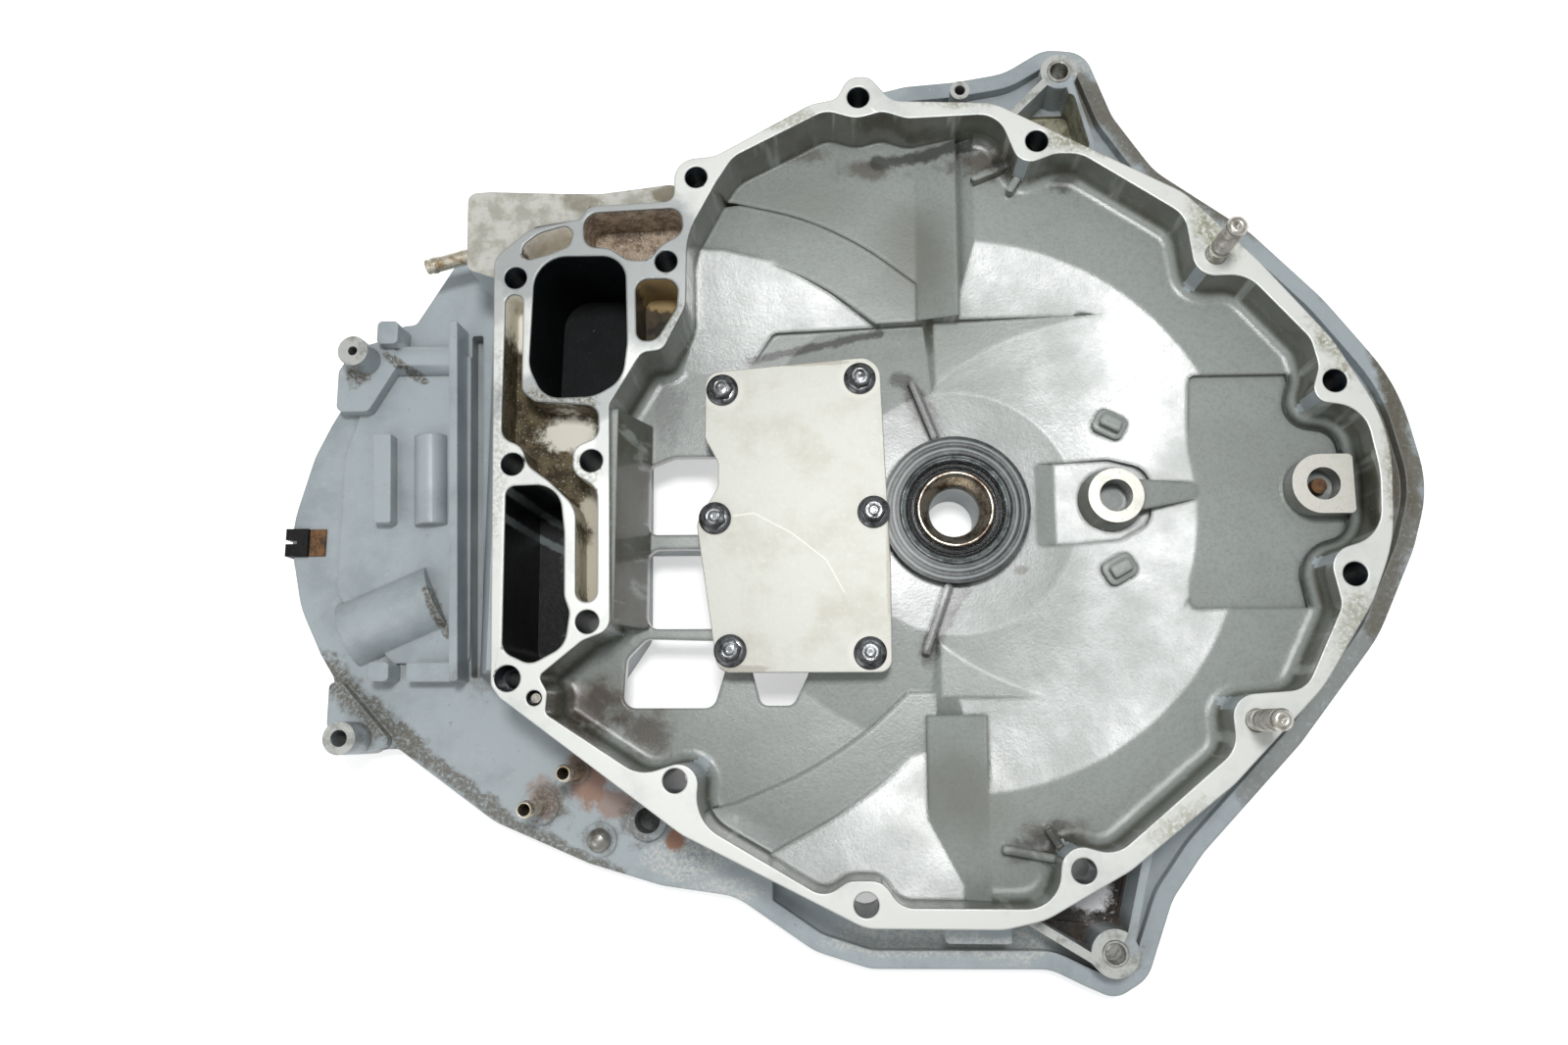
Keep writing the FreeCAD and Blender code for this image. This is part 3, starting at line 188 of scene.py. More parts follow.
def noiseAt(tree, place, scale, detail=3.0, rough=0.55, out=0):
    return put(
        tree, "TexNoise", {"Vector": place, "Scale": scale, "Detail": detail, "Roughness": rough},
        out=out,
    )


def newGroup(name, inputs, outputs):
    # a node group with named sockets; returns the tree, its inputs and its output node
    tree = bpy.data.node_groups.new(name, "ShaderNodeTree")
    for socketName, kind, value in inputs:
        socket = tree.interface.new_socket(
            name=socketName, in_out="INPUT", socket_type="NodeSocket" + kind
        )
        socket.default_value = value
    for socketName, kind in outputs:
        tree.interface.new_socket(name=socketName, in_out="OUTPUT", socket_type="NodeSocket" + kind)
    return tree, tree.nodes.new("NodeGroupInput").outputs, tree.nodes.new("NodeGroupOutput").inputs


def use(tree, group, out=0, **values):
    node = tree.nodes.new("ShaderNodeGroup")
    node.node_tree = group
    for key, value in values.items():
        if isinstance(value, bpy.types.NodeSocket):
            tree.links.new(value, node.inputs[key])
        else:
            node.inputs[key].default_value = value
    return node.outputs[out]


def castGrainGroup():
    # skin of a sand or die casting: fine grain over soft waves, as a height
    tree, given, out = newGroup(
        "castGrain", [("Scale", "Float", 1.0), ("Pits", "Float", 0.3)], [("Height", "Float")]
    )
    place = put(tree, "TexCoord", out=3)
    sized = put(tree, "VectorMath", {0: place, 3: given["Scale"]}, operation="SCALE")
    fine = noiseAt(tree, sized, 1100.0, 4.0, 0.7)
    wave = noiseAt(tree, sized, 120.0, 2.0)
    pits = put(tree, "TexVoronoi", {"Vector": sized, "Scale": 700.0}, feature="F1")
    pit = calc(tree, "MULTIPLY", step(tree, pits, 0.0, 0.35, 1.0, 0.0), given["Pits"])
    height = calc(tree, "ADD", calc(tree, "MULTIPLY", fine, 0.6), calc(tree, "MULTIPLY", wave, 0.8))
    tree.links.new(calc(tree, "SUBTRACT", height, pit), out["Height"])
    return tree


def edgeWearGroup():
    # 1 along edges that stand out or in, 0 on flats, broken up by noise
    tree, given, out = newGroup(
        "edgeWear",
        [("Radius", "Float", 0.0012), ("Ragged", "Float", 0.5)],
        [("Mask", "Float")],
    )
    place = put(tree, "TexCoord", out=3)
    flat = put(tree, "NewGeometry", out=1)
    rounded = put(tree, "Bevel", {"Radius": given["Radius"]}, samples=4)
    same = put(tree, "VectorMath", {0: flat, 1: rounded}, out=1, operation="DOT_PRODUCT")
    edge = step(tree, same, 0.995, 0.9)
    ragged = calc(tree, "MULTIPLY", noiseAt(tree, place, 160.0, 4.0, 0.7), given["Ragged"])
    tree.links.new(calc(tree, "SUBTRACT", edge, ragged, clamp=True), out["Mask"])
    return tree


def spotMaskGroup():
    # a stain: an ellipse seen from above, its edge pushed in and out by a noise
    tree, given, out = newGroup(
        "spotMask",
        [("Centre", "Vector", (0, 0, 0)), ("Reach", "Vector", (0.01, 0.01, 1)),
         ("Rough", "Float", 0.0), ("Ragged", "Float", 0.8), ("Soft", "Float", 0.25)],
        [("Mask", "Float")],
    )
    place = put(tree, "TexCoord", out=3)
    away = put(tree, "VectorMath", {0: place, 1: given["Centre"]}, operation="SUBTRACT")
    shared = put(tree, "VectorMath", {0: away, 1: given["Reach"]}, operation="DIVIDE")
    level = put(tree, "VectorMath", {0: shared, 1: (1, 1, 0)}, operation="MULTIPLY")
    far = put(tree, "VectorMath", {0: level}, out=1, operation="LENGTH")
    spread = calc(tree, "MULTIPLY_ADD", given["Rough"], given["Ragged"], far)
    low = calc(tree, "SUBTRACT", 1.0, given["Soft"])
    tree.links.new(step(tree, spread, 1.0, low), out["Mask"])
    return tree


def streakMaskGroup():
    # a line seen from above, with a width and soft sides
    tree, given, out = newGroup(
        "streakMask",
        [("Start", "Vector", (0, 0, 0)), ("End", "Vector", (0.01, 0, 0)),
         ("Width", "Float", 0.001), ("Rough", "Float", 0.0), ("Ragged", "Float", 0.0)],
        [("Mask", "Float")],
    )
    place = put(tree, "TexCoord", out=3)
    level = put(tree, "VectorMath", {0: place, 1: (1, 1, 0)}, operation="MULTIPLY")
    away = put(tree, "VectorMath", {0: level, 1: given["Start"]}, operation="SUBTRACT")
    way = put(tree, "VectorMath", {0: given["End"], 1: given["Start"]}, operation="SUBTRACT")
    along = put(tree, "VectorMath", {0: away, 1: way}, out=1, operation="DOT_PRODUCT")
    whole = put(tree, "VectorMath", {0: way, 1: way}, out=1, operation="DOT_PRODUCT")
    share = calc(tree, "DIVIDE", along, whole, clamp=True)
    foot = put(tree, "VectorMath", {0: way, 3: share}, operation="SCALE")
    gap = put(tree, "VectorMath", {0: away, 1: foot}, operation="SUBTRACT")
    far = put(tree, "VectorMath", {0: gap}, out=1, operation="LENGTH")
    share = calc(tree, "DIVIDE", far, given["Width"])
    spread = calc(tree, "MULTIPLY_ADD", given["Rough"], given["Ragged"], share)
    tree.links.new(step(tree, spread, 1.0, 0.4), out["Mask"])
    return tree


castGrain = castGrainGroup()
edgeWear = edgeWearGroup()
spotMask = spotMaskGroup()
streakMask = streakMaskGroup()


def newMaterial(name, roughness=0.5, metallic=0.0, coat=0.0, coatRoughness=0.1):
    # returns the material, its tree and its Principled shader
    material = bpy.data.materials.new(name)
    material.use_nodes = True
    tree = material.node_tree
    shader = tree.nodes["Principled BSDF"]
    shader.inputs["Roughness"].default_value = roughness
    shader.inputs["Metallic"].default_value = metallic
    shader.inputs["Coat Weight"].default_value = coat
    shader.inputs["Coat Roughness"].default_value = coatRoughness
    return material, tree, shader


def wire(tree, shader, **sockets):
    names = {"colour": "Base Color", "rough": "Roughness", "coat": "Coat Weight"}
    for key, value in sockets.items():
        tree.links.new(value, shader.inputs[names[key]])


def roundEdges(tree, shader, height, radius=0.001, strength=0.3, distance=0.0004):
    # rounded edges from Bevel, then the grain from Bump
    rounded = put(tree, "Bevel", {"Radius": radius}, samples=4)
    bump = put(
        tree, "Bump",
        {"Strength": strength, "Distance": distance, "Height": height, "Normal": rounded},
    )
    tree.links.new(bump, shader.inputs["Normal"])


def colourPatches(
    tree, under, colour, spots=(), runs=(), scale=90.0, ragged=1.6, speckle=None, soft=0.4
):
    # patches of one colour over another, used for stains and also for painted shade and light: spots
    # of x, y, reach x, reach y, weight, and runs of x, y, x, y, width, weight; speckle breaks them
    # up
    place = put(tree, "TexCoord", out=3)
    rough = calc(tree, "SUBTRACT", noiseAt(tree, place, scale, 5.0, 0.68), 0.5)
    masks = []
    for x, y, reachX, reachY, weight in spots:
        mask = use(
            tree, spotMask, Centre=(x * mm, y * mm, 0), Reach=(reachX * mm, reachY * mm, 1),
            Rough=rough, Ragged=ragged, Soft=soft,
        )
        masks.append(calc(tree, "MULTIPLY", mask, weight))
    for x0, y0, x1, y1, width, weight in runs:
        mask = use(
            tree, streakMask, Start=(x0 * mm, y0 * mm, 0), End=(x1 * mm, y1 * mm, 0),
            Width=width * mm, Rough=rough, Ragged=ragged,
        )
        masks.append(calc(tree, "MULTIPLY", mask, weight))
    total = masks[0]
    for mask in masks[1:]:
        total = calc(tree, "MAXIMUM", total, mask)
    if speckle:
        fine = step(tree, noiseAt(tree, place, scale * 5, 4.0, 0.75), *speckle)
        total = calc(tree, "MULTIPLY", total, fine)
    return blendColour(tree, total, under, colour)


paintLook = {
    "base": tone(160, 169, 173), "dark": tone(140, 149, 153), "bare": tone(206, 208, 204),
    "dirt": tone(82, 74, 58), "rust": tone(140, 92, 62), "salt": tone(200, 199, 192),
    "rustSpots": [(-152, -107, 12, 13, 0.8), (-115, -132, 5, 5, 0.9), (-140, -118, 9, 7, 0.6),
                  (-170, -116, 9, 9, 0.5)],
    "dirtSpots": [(-255, 64, 7, 8, 0.9), (-167, -118, 11, 11, 0.8), (-129, -125, 11, 11, 0.7),
                  (-146, -132, 9, 9, 0.5), (-156, -104, 8, 8, 0.6), (66, 186, 9, 14, 0.5),
                  (-248, -91, 12, 7, 0.5), (-199, -66, 8, 9, 0.4), (62, -178, 12, 8, 0.5)],
    "dirtRuns": [(-243, 73, -228, 63, 2.5, 0.9), (-266, -60, -248, -78, 7, 0.85),
                 (-248, -78, -225, -95, 7, 0.85), (-225, -95, -182, -126, 4.5, 0.8),
                 (-182, -126, -138, -146, 4, 0.8), (-220, -30, -213, -48, 2.2, 0.9),
                 (64, 192, 96, 149, 6, 0.5), (96, 149, 152, 118, 5, 0.5),
                 (152, 118, 182, 82, 6, 0.6), (182, 82, 188, 6, 5, 0.7),
                 (188, 6, 170, -46, 5, 0.5), (-90, 152, -50, 178, 5, 0.4)],
    "grime": tone(98, 94, 80),
    "grimeRuns": [(60, 198, 96, 152, 9, 0.8), (96, 152, 154, 118, 8, 0.85),
                  (154, 118, 184, 80, 9, 0.9), (184, 80, 190, 4, 8, 0.9),
                  (190, 4, 170, -48, 8, 0.8), (170, -48, 118, -112, 8, 0.5),
                  (20, 184, -80, 170, 5, 0.6), (-150, 130, -90, 152, 5, 0.4)],
    "grimeSpots": [(50, 176, 16, 14, 0.6), (58, -168, 16, 12, 0.5)],
    "saltSpots": [(-20, -170, 40, 8, 0.8), (20, -172, 24, 8, 0.7), (-110, -140, 22, 10, 0.7),
                  (-95, -152, 20, 7, 0.6), (-160, 132, 26, 5, 0.5), (60, 205, 12, 5, 0.5)],
}


def paintMaterial():
    material, tree, shader = newMaterial("satinGreyPaint", 0.42, 0.0, 0.15, 0.25)
    place = put(tree, "TexCoord", out=3)
    look = paintLook
    cloud = noiseAt(tree, place, 26.0, 6.0, 0.66)
    fleck = noiseAt(tree, place, 300.0, 4.0, 0.75)
    colour = blendColour(tree, step(tree, cloud, 0.4, 0.7), look["base"], look["dark"])
    colour = blendColour(tree, step(tree, fleck, 0.6, 0.75, 0.0, 0.3), colour, look["bare"])
    colour = blendColour(tree, step(tree, fleck, 0.36, 0.28, 0.0, 0.45), colour, look["dirt"])
    colour = colourPatches(
        tree, colour, look["grime"], look["grimeSpots"], look["grimeRuns"], 90.0, 2.4,
        speckle=(0.2, 0.5), soft=0.8,
    )
    colour = colourPatches(tree, colour, look["salt"], look["saltSpots"], scale=140.0, speckle=(0.4, 0.6))
    colour = colourPatches(tree, colour, look["rust"], look["rustSpots"], scale=110.0)
    colour = colourPatches(
        tree, colour, look["dirt"], look["dirtSpots"], look["dirtRuns"], 150.0, 2.2,
        speckle=(0.32, 0.55), soft=0.6,
    )
    # painted shade: ambient occlusion darkens the creases in the dirt colour
    creaseShade = put(tree, "AmbientOcclusion", {"Distance": 0.006}, out=1, samples=4)
    colour = blendColour(tree, step(tree, creaseShade, 0.6, 0.25, 0.0, 0.6), colour, look["dirt"])
    wear = use(tree, edgeWear, Radius=0.0009, Ragged=0.95)
    colour = blendColour(tree, wear, colour, look["bare"])
    wire(tree, shader, colour=colour, rough=step(tree, cloud, 0.3, 0.75, 0.36, 0.55))
    roundEdges(tree, shader, use(tree, castGrain, Scale=1.0, Pits=0.2), 0.0014, 0.28)
    return material


landLook = {
    "metal": tone(210, 212, 208), "grey": tone(176, 180, 178), "stain": tone(138, 138, 116),
    "dark": tone(96, 90, 68), "smut": tone(138, 143, 144), "lip": tone(124, 130, 130),
    "blockSpots": [(-146, 104, 56, 34, 0.75), (-118, 84, 24, 26, 0.7), (-183, 92, 10, 22, 0.5),
                   (-156, 42, 36, 14, 0.75), (-136, 30, 8, 26, 0.3)],
    "ochreSpots": [(-160, 40, 26, 7, 0.9), (-116, 76, 10, 14, 0.6), (-148, 12, 10, 8, 0.6),
                   (-181, 20, 5, 50, 0.35)],
    "outerSpots": [(150, 72, 18, 34, 1.0), (112, 112, 28, 18, 1.0), (62, 146, 40, 9, 1.0),
                   (10, 165, 34, 6, 0.8), (166, 12, 9, 50, 0.9), (146, -58, 16, 30, 0.7),
                   (84, -124, 26, 14, 0.6), (-72, 158, 30, 7, 0.6)],
}


def landMaterial():
    # machined gasket face: bright, with fine turning marks, stained about the ports
    material, tree, shader = newMaterial("machinedLand", 0.4, 0.4)
    place = put(tree, "TexCoord", out=3)
    look = landLook
    cloud = noiseAt(tree, place, 34.0, 6.0, 0.68)
    colour = blendColour(tree, step(tree, cloud, 0.46, 0.74, 0.0, 0.6), look["metal"], look["grey"])
    colour = colourPatches(
        tree, colour, look["smut"], look["blockSpots"], scale=60.0, ragged=0.7, soft=0.3
    )
    colour = colourPatches(
        tree, colour, look["dark"], look["ochreSpots"], scale=110.0, ragged=2.0,
        speckle=(0.4, 0.62),
    )
    colour = colourPatches(
        tree, colour, look["stain"], look["outerSpots"], scale=120.0, ragged=1.8,
        speckle=(0.34, 0.56), soft=0.7,
    )
    upright = put(tree, "SeparateXYZ", {0: put(tree, "NewGeometry", out=3)}, out=2)
    colour = blendColour(tree, step(tree, upright, 0.96, 0.85, 0.0, 0.8), colour, look["lip"])
    wire(tree, shader, colour=colour)
    lines = put(
        tree, "TexWave", {"Vector": place, "Scale": 900.0, "Distortion": 6.0, "Detail": 2.0},
        out=1,
    )
    roundEdges(tree, shader, lines, 0.0003, 0.06, 0.0002)
    return material


cavityLook = {
    # the wall colour is darker than the floor's partly for oil and partly as painted shade
    "floor": tone(142, 148, 145), "floorDark": tone(128, 134, 130), "wall": tone(84, 87, 77),
    "streak": tone(158, 163, 158), "oil": tone(26, 25, 20), "brown": tone(62, 50, 36),
    "oilSpots": [(28, 143, 16, 8, 0.9), (34, -130, 14, 8, 0.8), (46, 136, 8, 5, 0.7),
                 (20, -134, 8, 5, 0.5), (-118, 44, 10, 16, 0.35)],
    "oilRuns": [(-84, 66, -30, 77, 2.6, 0.85), (-20, 56, -4, 28, 5.5, 0.8),
                (3, -28, -12, -58, 5.5, 0.8), (-30, 150, 20, 156, 4, 0.8)],
    "brownSpots": [(-148, -78, 24, 14, 0.95), (-124, -90, 14, 12, 0.8), (20, 146, 26, 9, 0.8),
                   (-34, 147, 18, 6, 0.7), (-64, 154, 20, 5, 0.6), (26, -24, 4, 2.5, 0.8),
                   (36, -128, 18, 9, 0.7)],
    # film colour: painted shade, soft dark patches on the floor
    "film": tone(104, 106, 98),
    "paintedShadeSpots": [(-14, 108, 26, 36, 0.8), (0, -112, 34, 30, 0.7), (-130, -70, 34, 22, 0.6),
                  (-60, 132, 30, 22, 0.4)],
}


def cavityMaterial():
    # painted casting, wet with oil: glossy floor, near-black walls with upright streaks; the walls
    # are darker than the floor partly for their oil and partly as painted shade, and the dark floor
    # patches and the dark creases are painted shade
    material, tree, shader = newMaterial("oiledCasting", 0.3, 0.0, 0.5, 0.06)
    shader.inputs["Specular IOR Level"].default_value = 0.75
    place = put(tree, "TexCoord", out=3)
    look = cavityLook
    upright = put(tree, "SeparateXYZ", {0: put(tree, "NewGeometry", out=1)}, out=2)
    level = step(tree, upright, 0.3, 0.9)
    cloud = noiseAt(tree, place, 20.0, 5.0, 0.62)
    fine = noiseAt(tree, place, 700.0, 3.0, 0.7)
    floor = blendColour(tree, step(tree, cloud, 0.4, 0.68), look["floor"], look["floorDark"])
    floor = blendColour(tree, step(tree, fine, 0.6, 0.3, 0.0, 0.25), floor, look["wall"])
    # painted shade: soft dark patches on the floor in the film colour
    floor = colourPatches(
        tree, floor, look["film"], look["paintedShadeSpots"], scale=26.0, ragged=0.9, soft=0.9
    )
    floor = colourPatches(
        tree, floor, look["brown"], look["brownSpots"], scale=110.0, ragged=2.0, soft=0.7
    )
    floor = colourPatches(
        tree, floor, look["oil"], look["oilSpots"], look["oilRuns"], 120.0, 2.2, soft=0.6
    )
    tall = put(tree, "VectorMath", {0: place, 1: (1, 1, 0.08)}, operation="MULTIPLY")
    run = step(tree, noiseAt(tree, tall, 150.0, 3.0, 0.5), 0.56, 0.7, 0.0, 0.8)
    murk = step(tree, noiseAt(tree, place, 60.0, 5.0, 0.7), 0.4, 0.6, 0.0, 0.6)
    # walls: darker than the floor, partly for oil and partly as painted shade
    wall = blendColour(tree, murk, look["wall"], look["brown"])
    wall = blendColour(tree, run, wall, look["streak"])
    colour = blendColour(tree, level, wall, floor)
    # painted shade: ambient occlusion darkens the creases in the oil colour, more on walls than on
    # floors
    creaseShade = put(tree, "AmbientOcclusion", {"Distance": 0.008}, out=1, samples=4)
    dark = calc(tree, "MULTIPLY_ADD", level, -0.5, 0.75)
    colour = blendColour(
        tree, calc(tree, "MULTIPLY", step(tree, creaseShade, 0.6, 0.2), dark), colour, look["oil"]
    )
    wear = use(tree, edgeWear, Radius=0.0012, Ragged=0.8)
    colour = blendColour(tree, calc(tree, "MULTIPLY", wear, 0.35), colour, look["streak"])
    wire(
        tree, shader, colour=colour, rough=step(tree, cloud, 0.3, 0.7, 0.24, 0.36),
        coat=calc(tree, "MULTIPLY_ADD", level, -0.7, 0.7),
    )
    roundEdges(tree, shader, use(tree, castGrain, Scale=0.8, Pits=0.1), 0.0022, 0.25)
    return material


def dirtyMaterial(
    name, base, second, crumb, roughness=0.75, scale=120.0, coat=0.0, crumbs=(0.66, 0.72),
    patches=(),
):
    # corroded or sooty surface; each patch is a colour with its spots and runs
    material, tree, shader = newMaterial(name, roughness, 0.0, coat, 0.15)
    shader.inputs["Specular IOR Level"].default_value = 0.2
    place = put(tree, "TexCoord", out=3)
    cloud = noiseAt(tree, place, scale, 6.0, 0.7)
    fine = noiseAt(tree, place, scale * 6, 4.0, 0.7)
    colour = blendColour(tree, step(tree, cloud, 0.4, 0.62), base, second)
    for patchColour, spots, runs in patches:
        colour = colourPatches(tree, colour, patchColour, spots, runs, 260.0, 1.2)
    colour = blendColour(tree, step(tree, fine, *crumbs), colour, crumb)
    wire(tree, shader, colour=colour)
    height = calc(tree, "ADD", cloud, calc(tree, "MULTIPLY", fine, 0.5))
    roundEdges(tree, shader, height, 0.0008, 0.5, 0.0008)
    return material


def steelMaterial(name, colour, dark, roughness=0.3, metallic=1.0, scale=200.0, coat=0.0):
    material, tree, shader = newMaterial(name, roughness, metallic, coat, 0.1)
    place = put(tree, "TexCoord", out=3)
    cloud = noiseAt(tree, place, scale, 5.0, 0.65)
    mixed = blendColour(tree, step(tree, cloud, 0.42, 0.66), colour, dark)
    wear = use(tree, edgeWear, Radius=0.0004, Ragged=0.4)
    mixed = blendColour(tree, calc(tree, "MULTIPLY", wear, 0.6), mixed, colour)
    wire(
        tree, shader, colour=mixed,
        rough=step(tree, cloud, 0.3, 0.7, roughness * 0.8, roughness * 1.4),
    )
    roundEdges(tree, shader, noiseAt(tree, place, 900.0, 3.0), 0.0003, 0.1, 0.0002)
    return material


hubLook = {
    "oil": tone(34, 38, 39), "film": tone(74, 80, 80), "ring": tone(118, 126, 126),
    "paintedGlint": tone(206, 210, 210), "ringScale": 95.0,
}


def hubOilMaterial():
    # black oil over the turned rings of the hub, with painted glints
    material, tree, shader = newMaterial("hubOil", 0.34, 0.0, 0.12, 0.2)
    place = put(tree, "TexCoord", out=3)
    shader.inputs["Specular IOR Level"].default_value = 0.3
    rings = put(
        tree, "TexWave", {"Vector": place, "Scale": hubLook["ringScale"], "Distortion": 0.4}, out=1,
        wave_type="RINGS", rings_direction="Z",
    )
    cloud = noiseAt(tree, place, 150.0, 5.0, 0.7)
    fine = noiseAt(tree, place, 900.0, 3.0, 0.7)
    colour = blendColour(tree, step(tree, cloud, 0.4, 0.7), hubLook["oil"], hubLook["film"])
    ring = step(tree, rings, 0.62, 0.95, 0.0, 0.75)
    colour = blendColour(tree, ring, colour, hubLook["ring"])
    # painted highlight: small bright glints on the oil
    colour = blendColour(tree, step(tree, fine, 0.7, 0.76), colour, hubLook["paintedGlint"])
    wire(tree, shader, colour=colour)
    roundEdges(tree, shader, calc(tree, "ADD", rings, cloud), 0.0014, 0.5, 0.0004)
    return material


print("material groups ready")

# Outlines of the casting, the same corners as its solid has
castingOutlines = {
    "mouth": [
        (-107, 79), (-107, 109), (-95.5, 131), (-88.5, 142), (-51, 161), (-38.5, 157), (-28, 160),
        (-18, 156.5), (18.5, 157.5), (27, 134.5), (41, 139.8), (51, 139.5), (90.5, 112.5),
        (93.5, 87), (113, 87.5), (135.5, 61), (137.8, 50), (133.5, 36.5), (153.5, 33.5),
        (157.5, 8), (156, -16), (136, -22), (139.8, -42), (124.5, -73), (97, -75), (98.2, -94.5),
        (53, -132.5), (34, -127.5), (31.5, -151.5), (-25, -151.5), (-31.5, -142), (-44, -142),
        (-53, -148), (-101, -121), (-99, -97), (-122, -104.5), (-158.5, -81.5), (-158, -73.5),
        (-161.5, -67.5), (-145, -54), (-134.5, -50), (-136.8, 39), (-124.5, 60), (-116, 61),
    ],
    "exhaustPort": [(-168.5, 101), (-132, 100.5), (-130.5, 64), (-132, 49), (-143, 42.5),
                    (-163, 42), (-169.5, 55)],
    "lowerPort": [(-177, 6.5), (-156, 7), (-153.5, -12), (-152.8, -37), (-150.5, -43), (-152, -56),
                  (-165, -63), (-176, -58)],
    "waterPort": [(-180, 85), (-173, 85), (-172.3, 45), (-167, 40.5), (-141.5, 38.5), (-141, 26),
                  (-151, 22), (-151, 11.5), (-141, 5.5), (-140, -39), (-148, -39), (-149, -2),
                  (-160, 8.5), (-169, 15), (-171, 22.5), (-179.5, 26)],
    "kidneyPort": [(-174.2, 101.5), (-171.3, 99.8), (-163, 102), (-155, 105.3), (-153.4, 111),
                   (-156.5, 114), (-167.5, 111), (-173.6, 106)],
    "oilPocket": [(-149.5, 119), (-110, 120.5), (-108.5, 110), (-117.5, 105), (-122.5, 98.5),
                  (-131, 99), (-138, 104), (-148.5, 105)],
    "taperPocket": [(-127.5, 90.5), (-110, 90.5), (-111, 78), (-119, 65), (-126.5, 65)],
    "roughTop": [(-198, 98), (-199, 131), (-190, 131.5), (-160, 130), (-143, 129.5), (-113, 133),
                 (-105, 120), (-112, 100), (-180, 92)],
    "lugPocketTop": [(40, 184), (56, 184), (63, 155), (34, 168)],
    "lugPocketBottom": [(41, -148), (57, -140), (68, -140), (63, -160), (50, -164), (36, -163)],
}
castingMarks = {
    "holes": [(-103.6, 133.5), (-37.6, 166.4), (33.8, 145.4), (143.4, 44.2), (145.4, -30.3),
              (-108.7, -106.4), (-176.3, 92.1), (-115.3, 97.8), (-174.8, 15.3), (-143.5, 16.3),
              (-143.4, -46.8), (41.2, -138.1), (-37.7, -150.6), (101.7, 96.1), (106, -84.2),
              (-173.6, -68.3), (-163, -75.7)],
    "coverBolts": [(-94, 49), (-38, 53), (-96.5, -4), (-33, -2), (-90, -57), (-35, -58)],
    "lugTops": [(50, 194.5), (58, -172.5), (-252, 70.5), (-248, -91), (7, 187)],
    "bush": (63, 4), "pad": (141, 6.5), "hubReach": 30.8,
    "studs": {"upper": (101.7, 96.1), "lower": (106, -84.2)},
}


def inside(spot, corners):
    x, y = spot
    odd = False
    for i, (x1, y1) in enumerate(corners):
        x0, y0 = corners[i - 1]
        if (y0 > y) != (y1 > y) and x < (x1 - x0) * (y - y0) / (y1 - y0) + x0:
            odd = not odd
    return odd


def near(spot, places, reach):
    return any(math.hypot(spot[0] - x, spot[1] - y) < reach for x, y in places)


def toOutline(spot, corners):
    # distance from a spot to the nearest side of an outline
    best = 1000
    for i, (x1, y1) in enumerate(corners):
        x0, y0 = corners[i - 1]
        wayX, wayY = x1 - x0, y1 - y0
        share = ((spot[0] - x0) * wayX + (spot[1] - y0) * wayY) / (wayX * wayX + wayY * wayY)
        share = min(1, max(0, share))
        best = min(best, math.hypot(spot[0] - x0 - wayX * share, spot[1] - y0 - wayY * share))
    return best


portNames = ("exhaustPort", "lowerPort", "waterPort", "kidneyPort", "oilPocket", "taperPocket")
levels = {
    "bottom": 0.3, "landFrom": 60.9, "cavityFrom": 21.5, "bushFrom": 42.7, "padFrom": 49.7,
    "coverSeat": 41.5, "hubFrom": 27.5, "lugPocketBelow": 27.5, "lugFrom": 27, "roughFrom": 50,
}
reaches = {"holeWall": 4.9, "holeFloor": 4.2, "bush": 12, "pad": 22, "coverSeat": 7, "lug": 9.6}


def castingRegion(centre, normal, reach):
    # which finish a face of the casting has, from its height, its way and the outline it faces;
    # reach is how far its corners come from the middle of the hub
    spot = (centre.x + normal.x * 0.8, centre.y + normal.y * 0.8)
    level = normal.z > 0.9
    height = centre.z
    if height < levels["bottom"] and normal.z < -0.6:
        return "engineFace"
    if height > levels["landFrom"] and normal.z > 0.3:
        return "land"
    if normal.z < -0.6:
        return "paint"
    holeReach = reaches["holeWall"] if abs(normal.z) < 0.5 else reaches["holeFloor"]
    if near(spot, castingMarks["holes"], holeReach):
        return "hole"
    for name in portNames:
        if inside(spot, castingOutlines[name]):
            return name
    if inside(spot, castingOutlines["mouth"]) and height > levels["cavityFrom"]:
        onBush = height > levels["bushFrom"] and near(spot, [castingMarks["bush"]], reaches["bush"])
        onPad = height > levels["padFrom"] and near(spot, [castingMarks["pad"]], reaches["pad"])
        seated = abs(height - levels["coverSeat"]) < 0.3
        onSeat = seated and near(spot, castingMarks["coverBolts"], reaches["coverSeat"])
        if level and (onBush or onPad or onSeat):
            return "turned"
        if reach < castingMarks["hubReach"] and height > levels["hubFrom"]:
            return "hubOil"
        return "cavity"
    for name in ("lugPocketTop", "lugPocketBottom"):
        if inside(spot, castingOutlines[name]) and height < levels["lugPocketBelow"]:
            return name
    if level and height > levels["lugFrom"] and near(spot, castingMarks["lugTops"], reaches["lug"]):
        return "lugTop"
    if height > levels["roughFrom"] and normal.z > 0.5 and inside(spot, castingOutlines["roughTop"]):
        return "roughTop"
    return "paint"


def copyOfNode(name):
    # merged copy of a solid, with its flat faces whole again
    source = nodes[name]
    piece = source.copy()
    piece.data = source.data.copy()
    piece.parent = None
    bpy.context.scene.collection.objects.link(piece)
    editOn(piece)
    bpy.ops.mesh.select_all(action="SELECT")
    bpy.ops.mesh.remove_doubles(threshold=0.00002)
    bpy.ops.mesh.dissolve_limited(angle_limit=math.radians(0.5))
    editOff()
    return piece


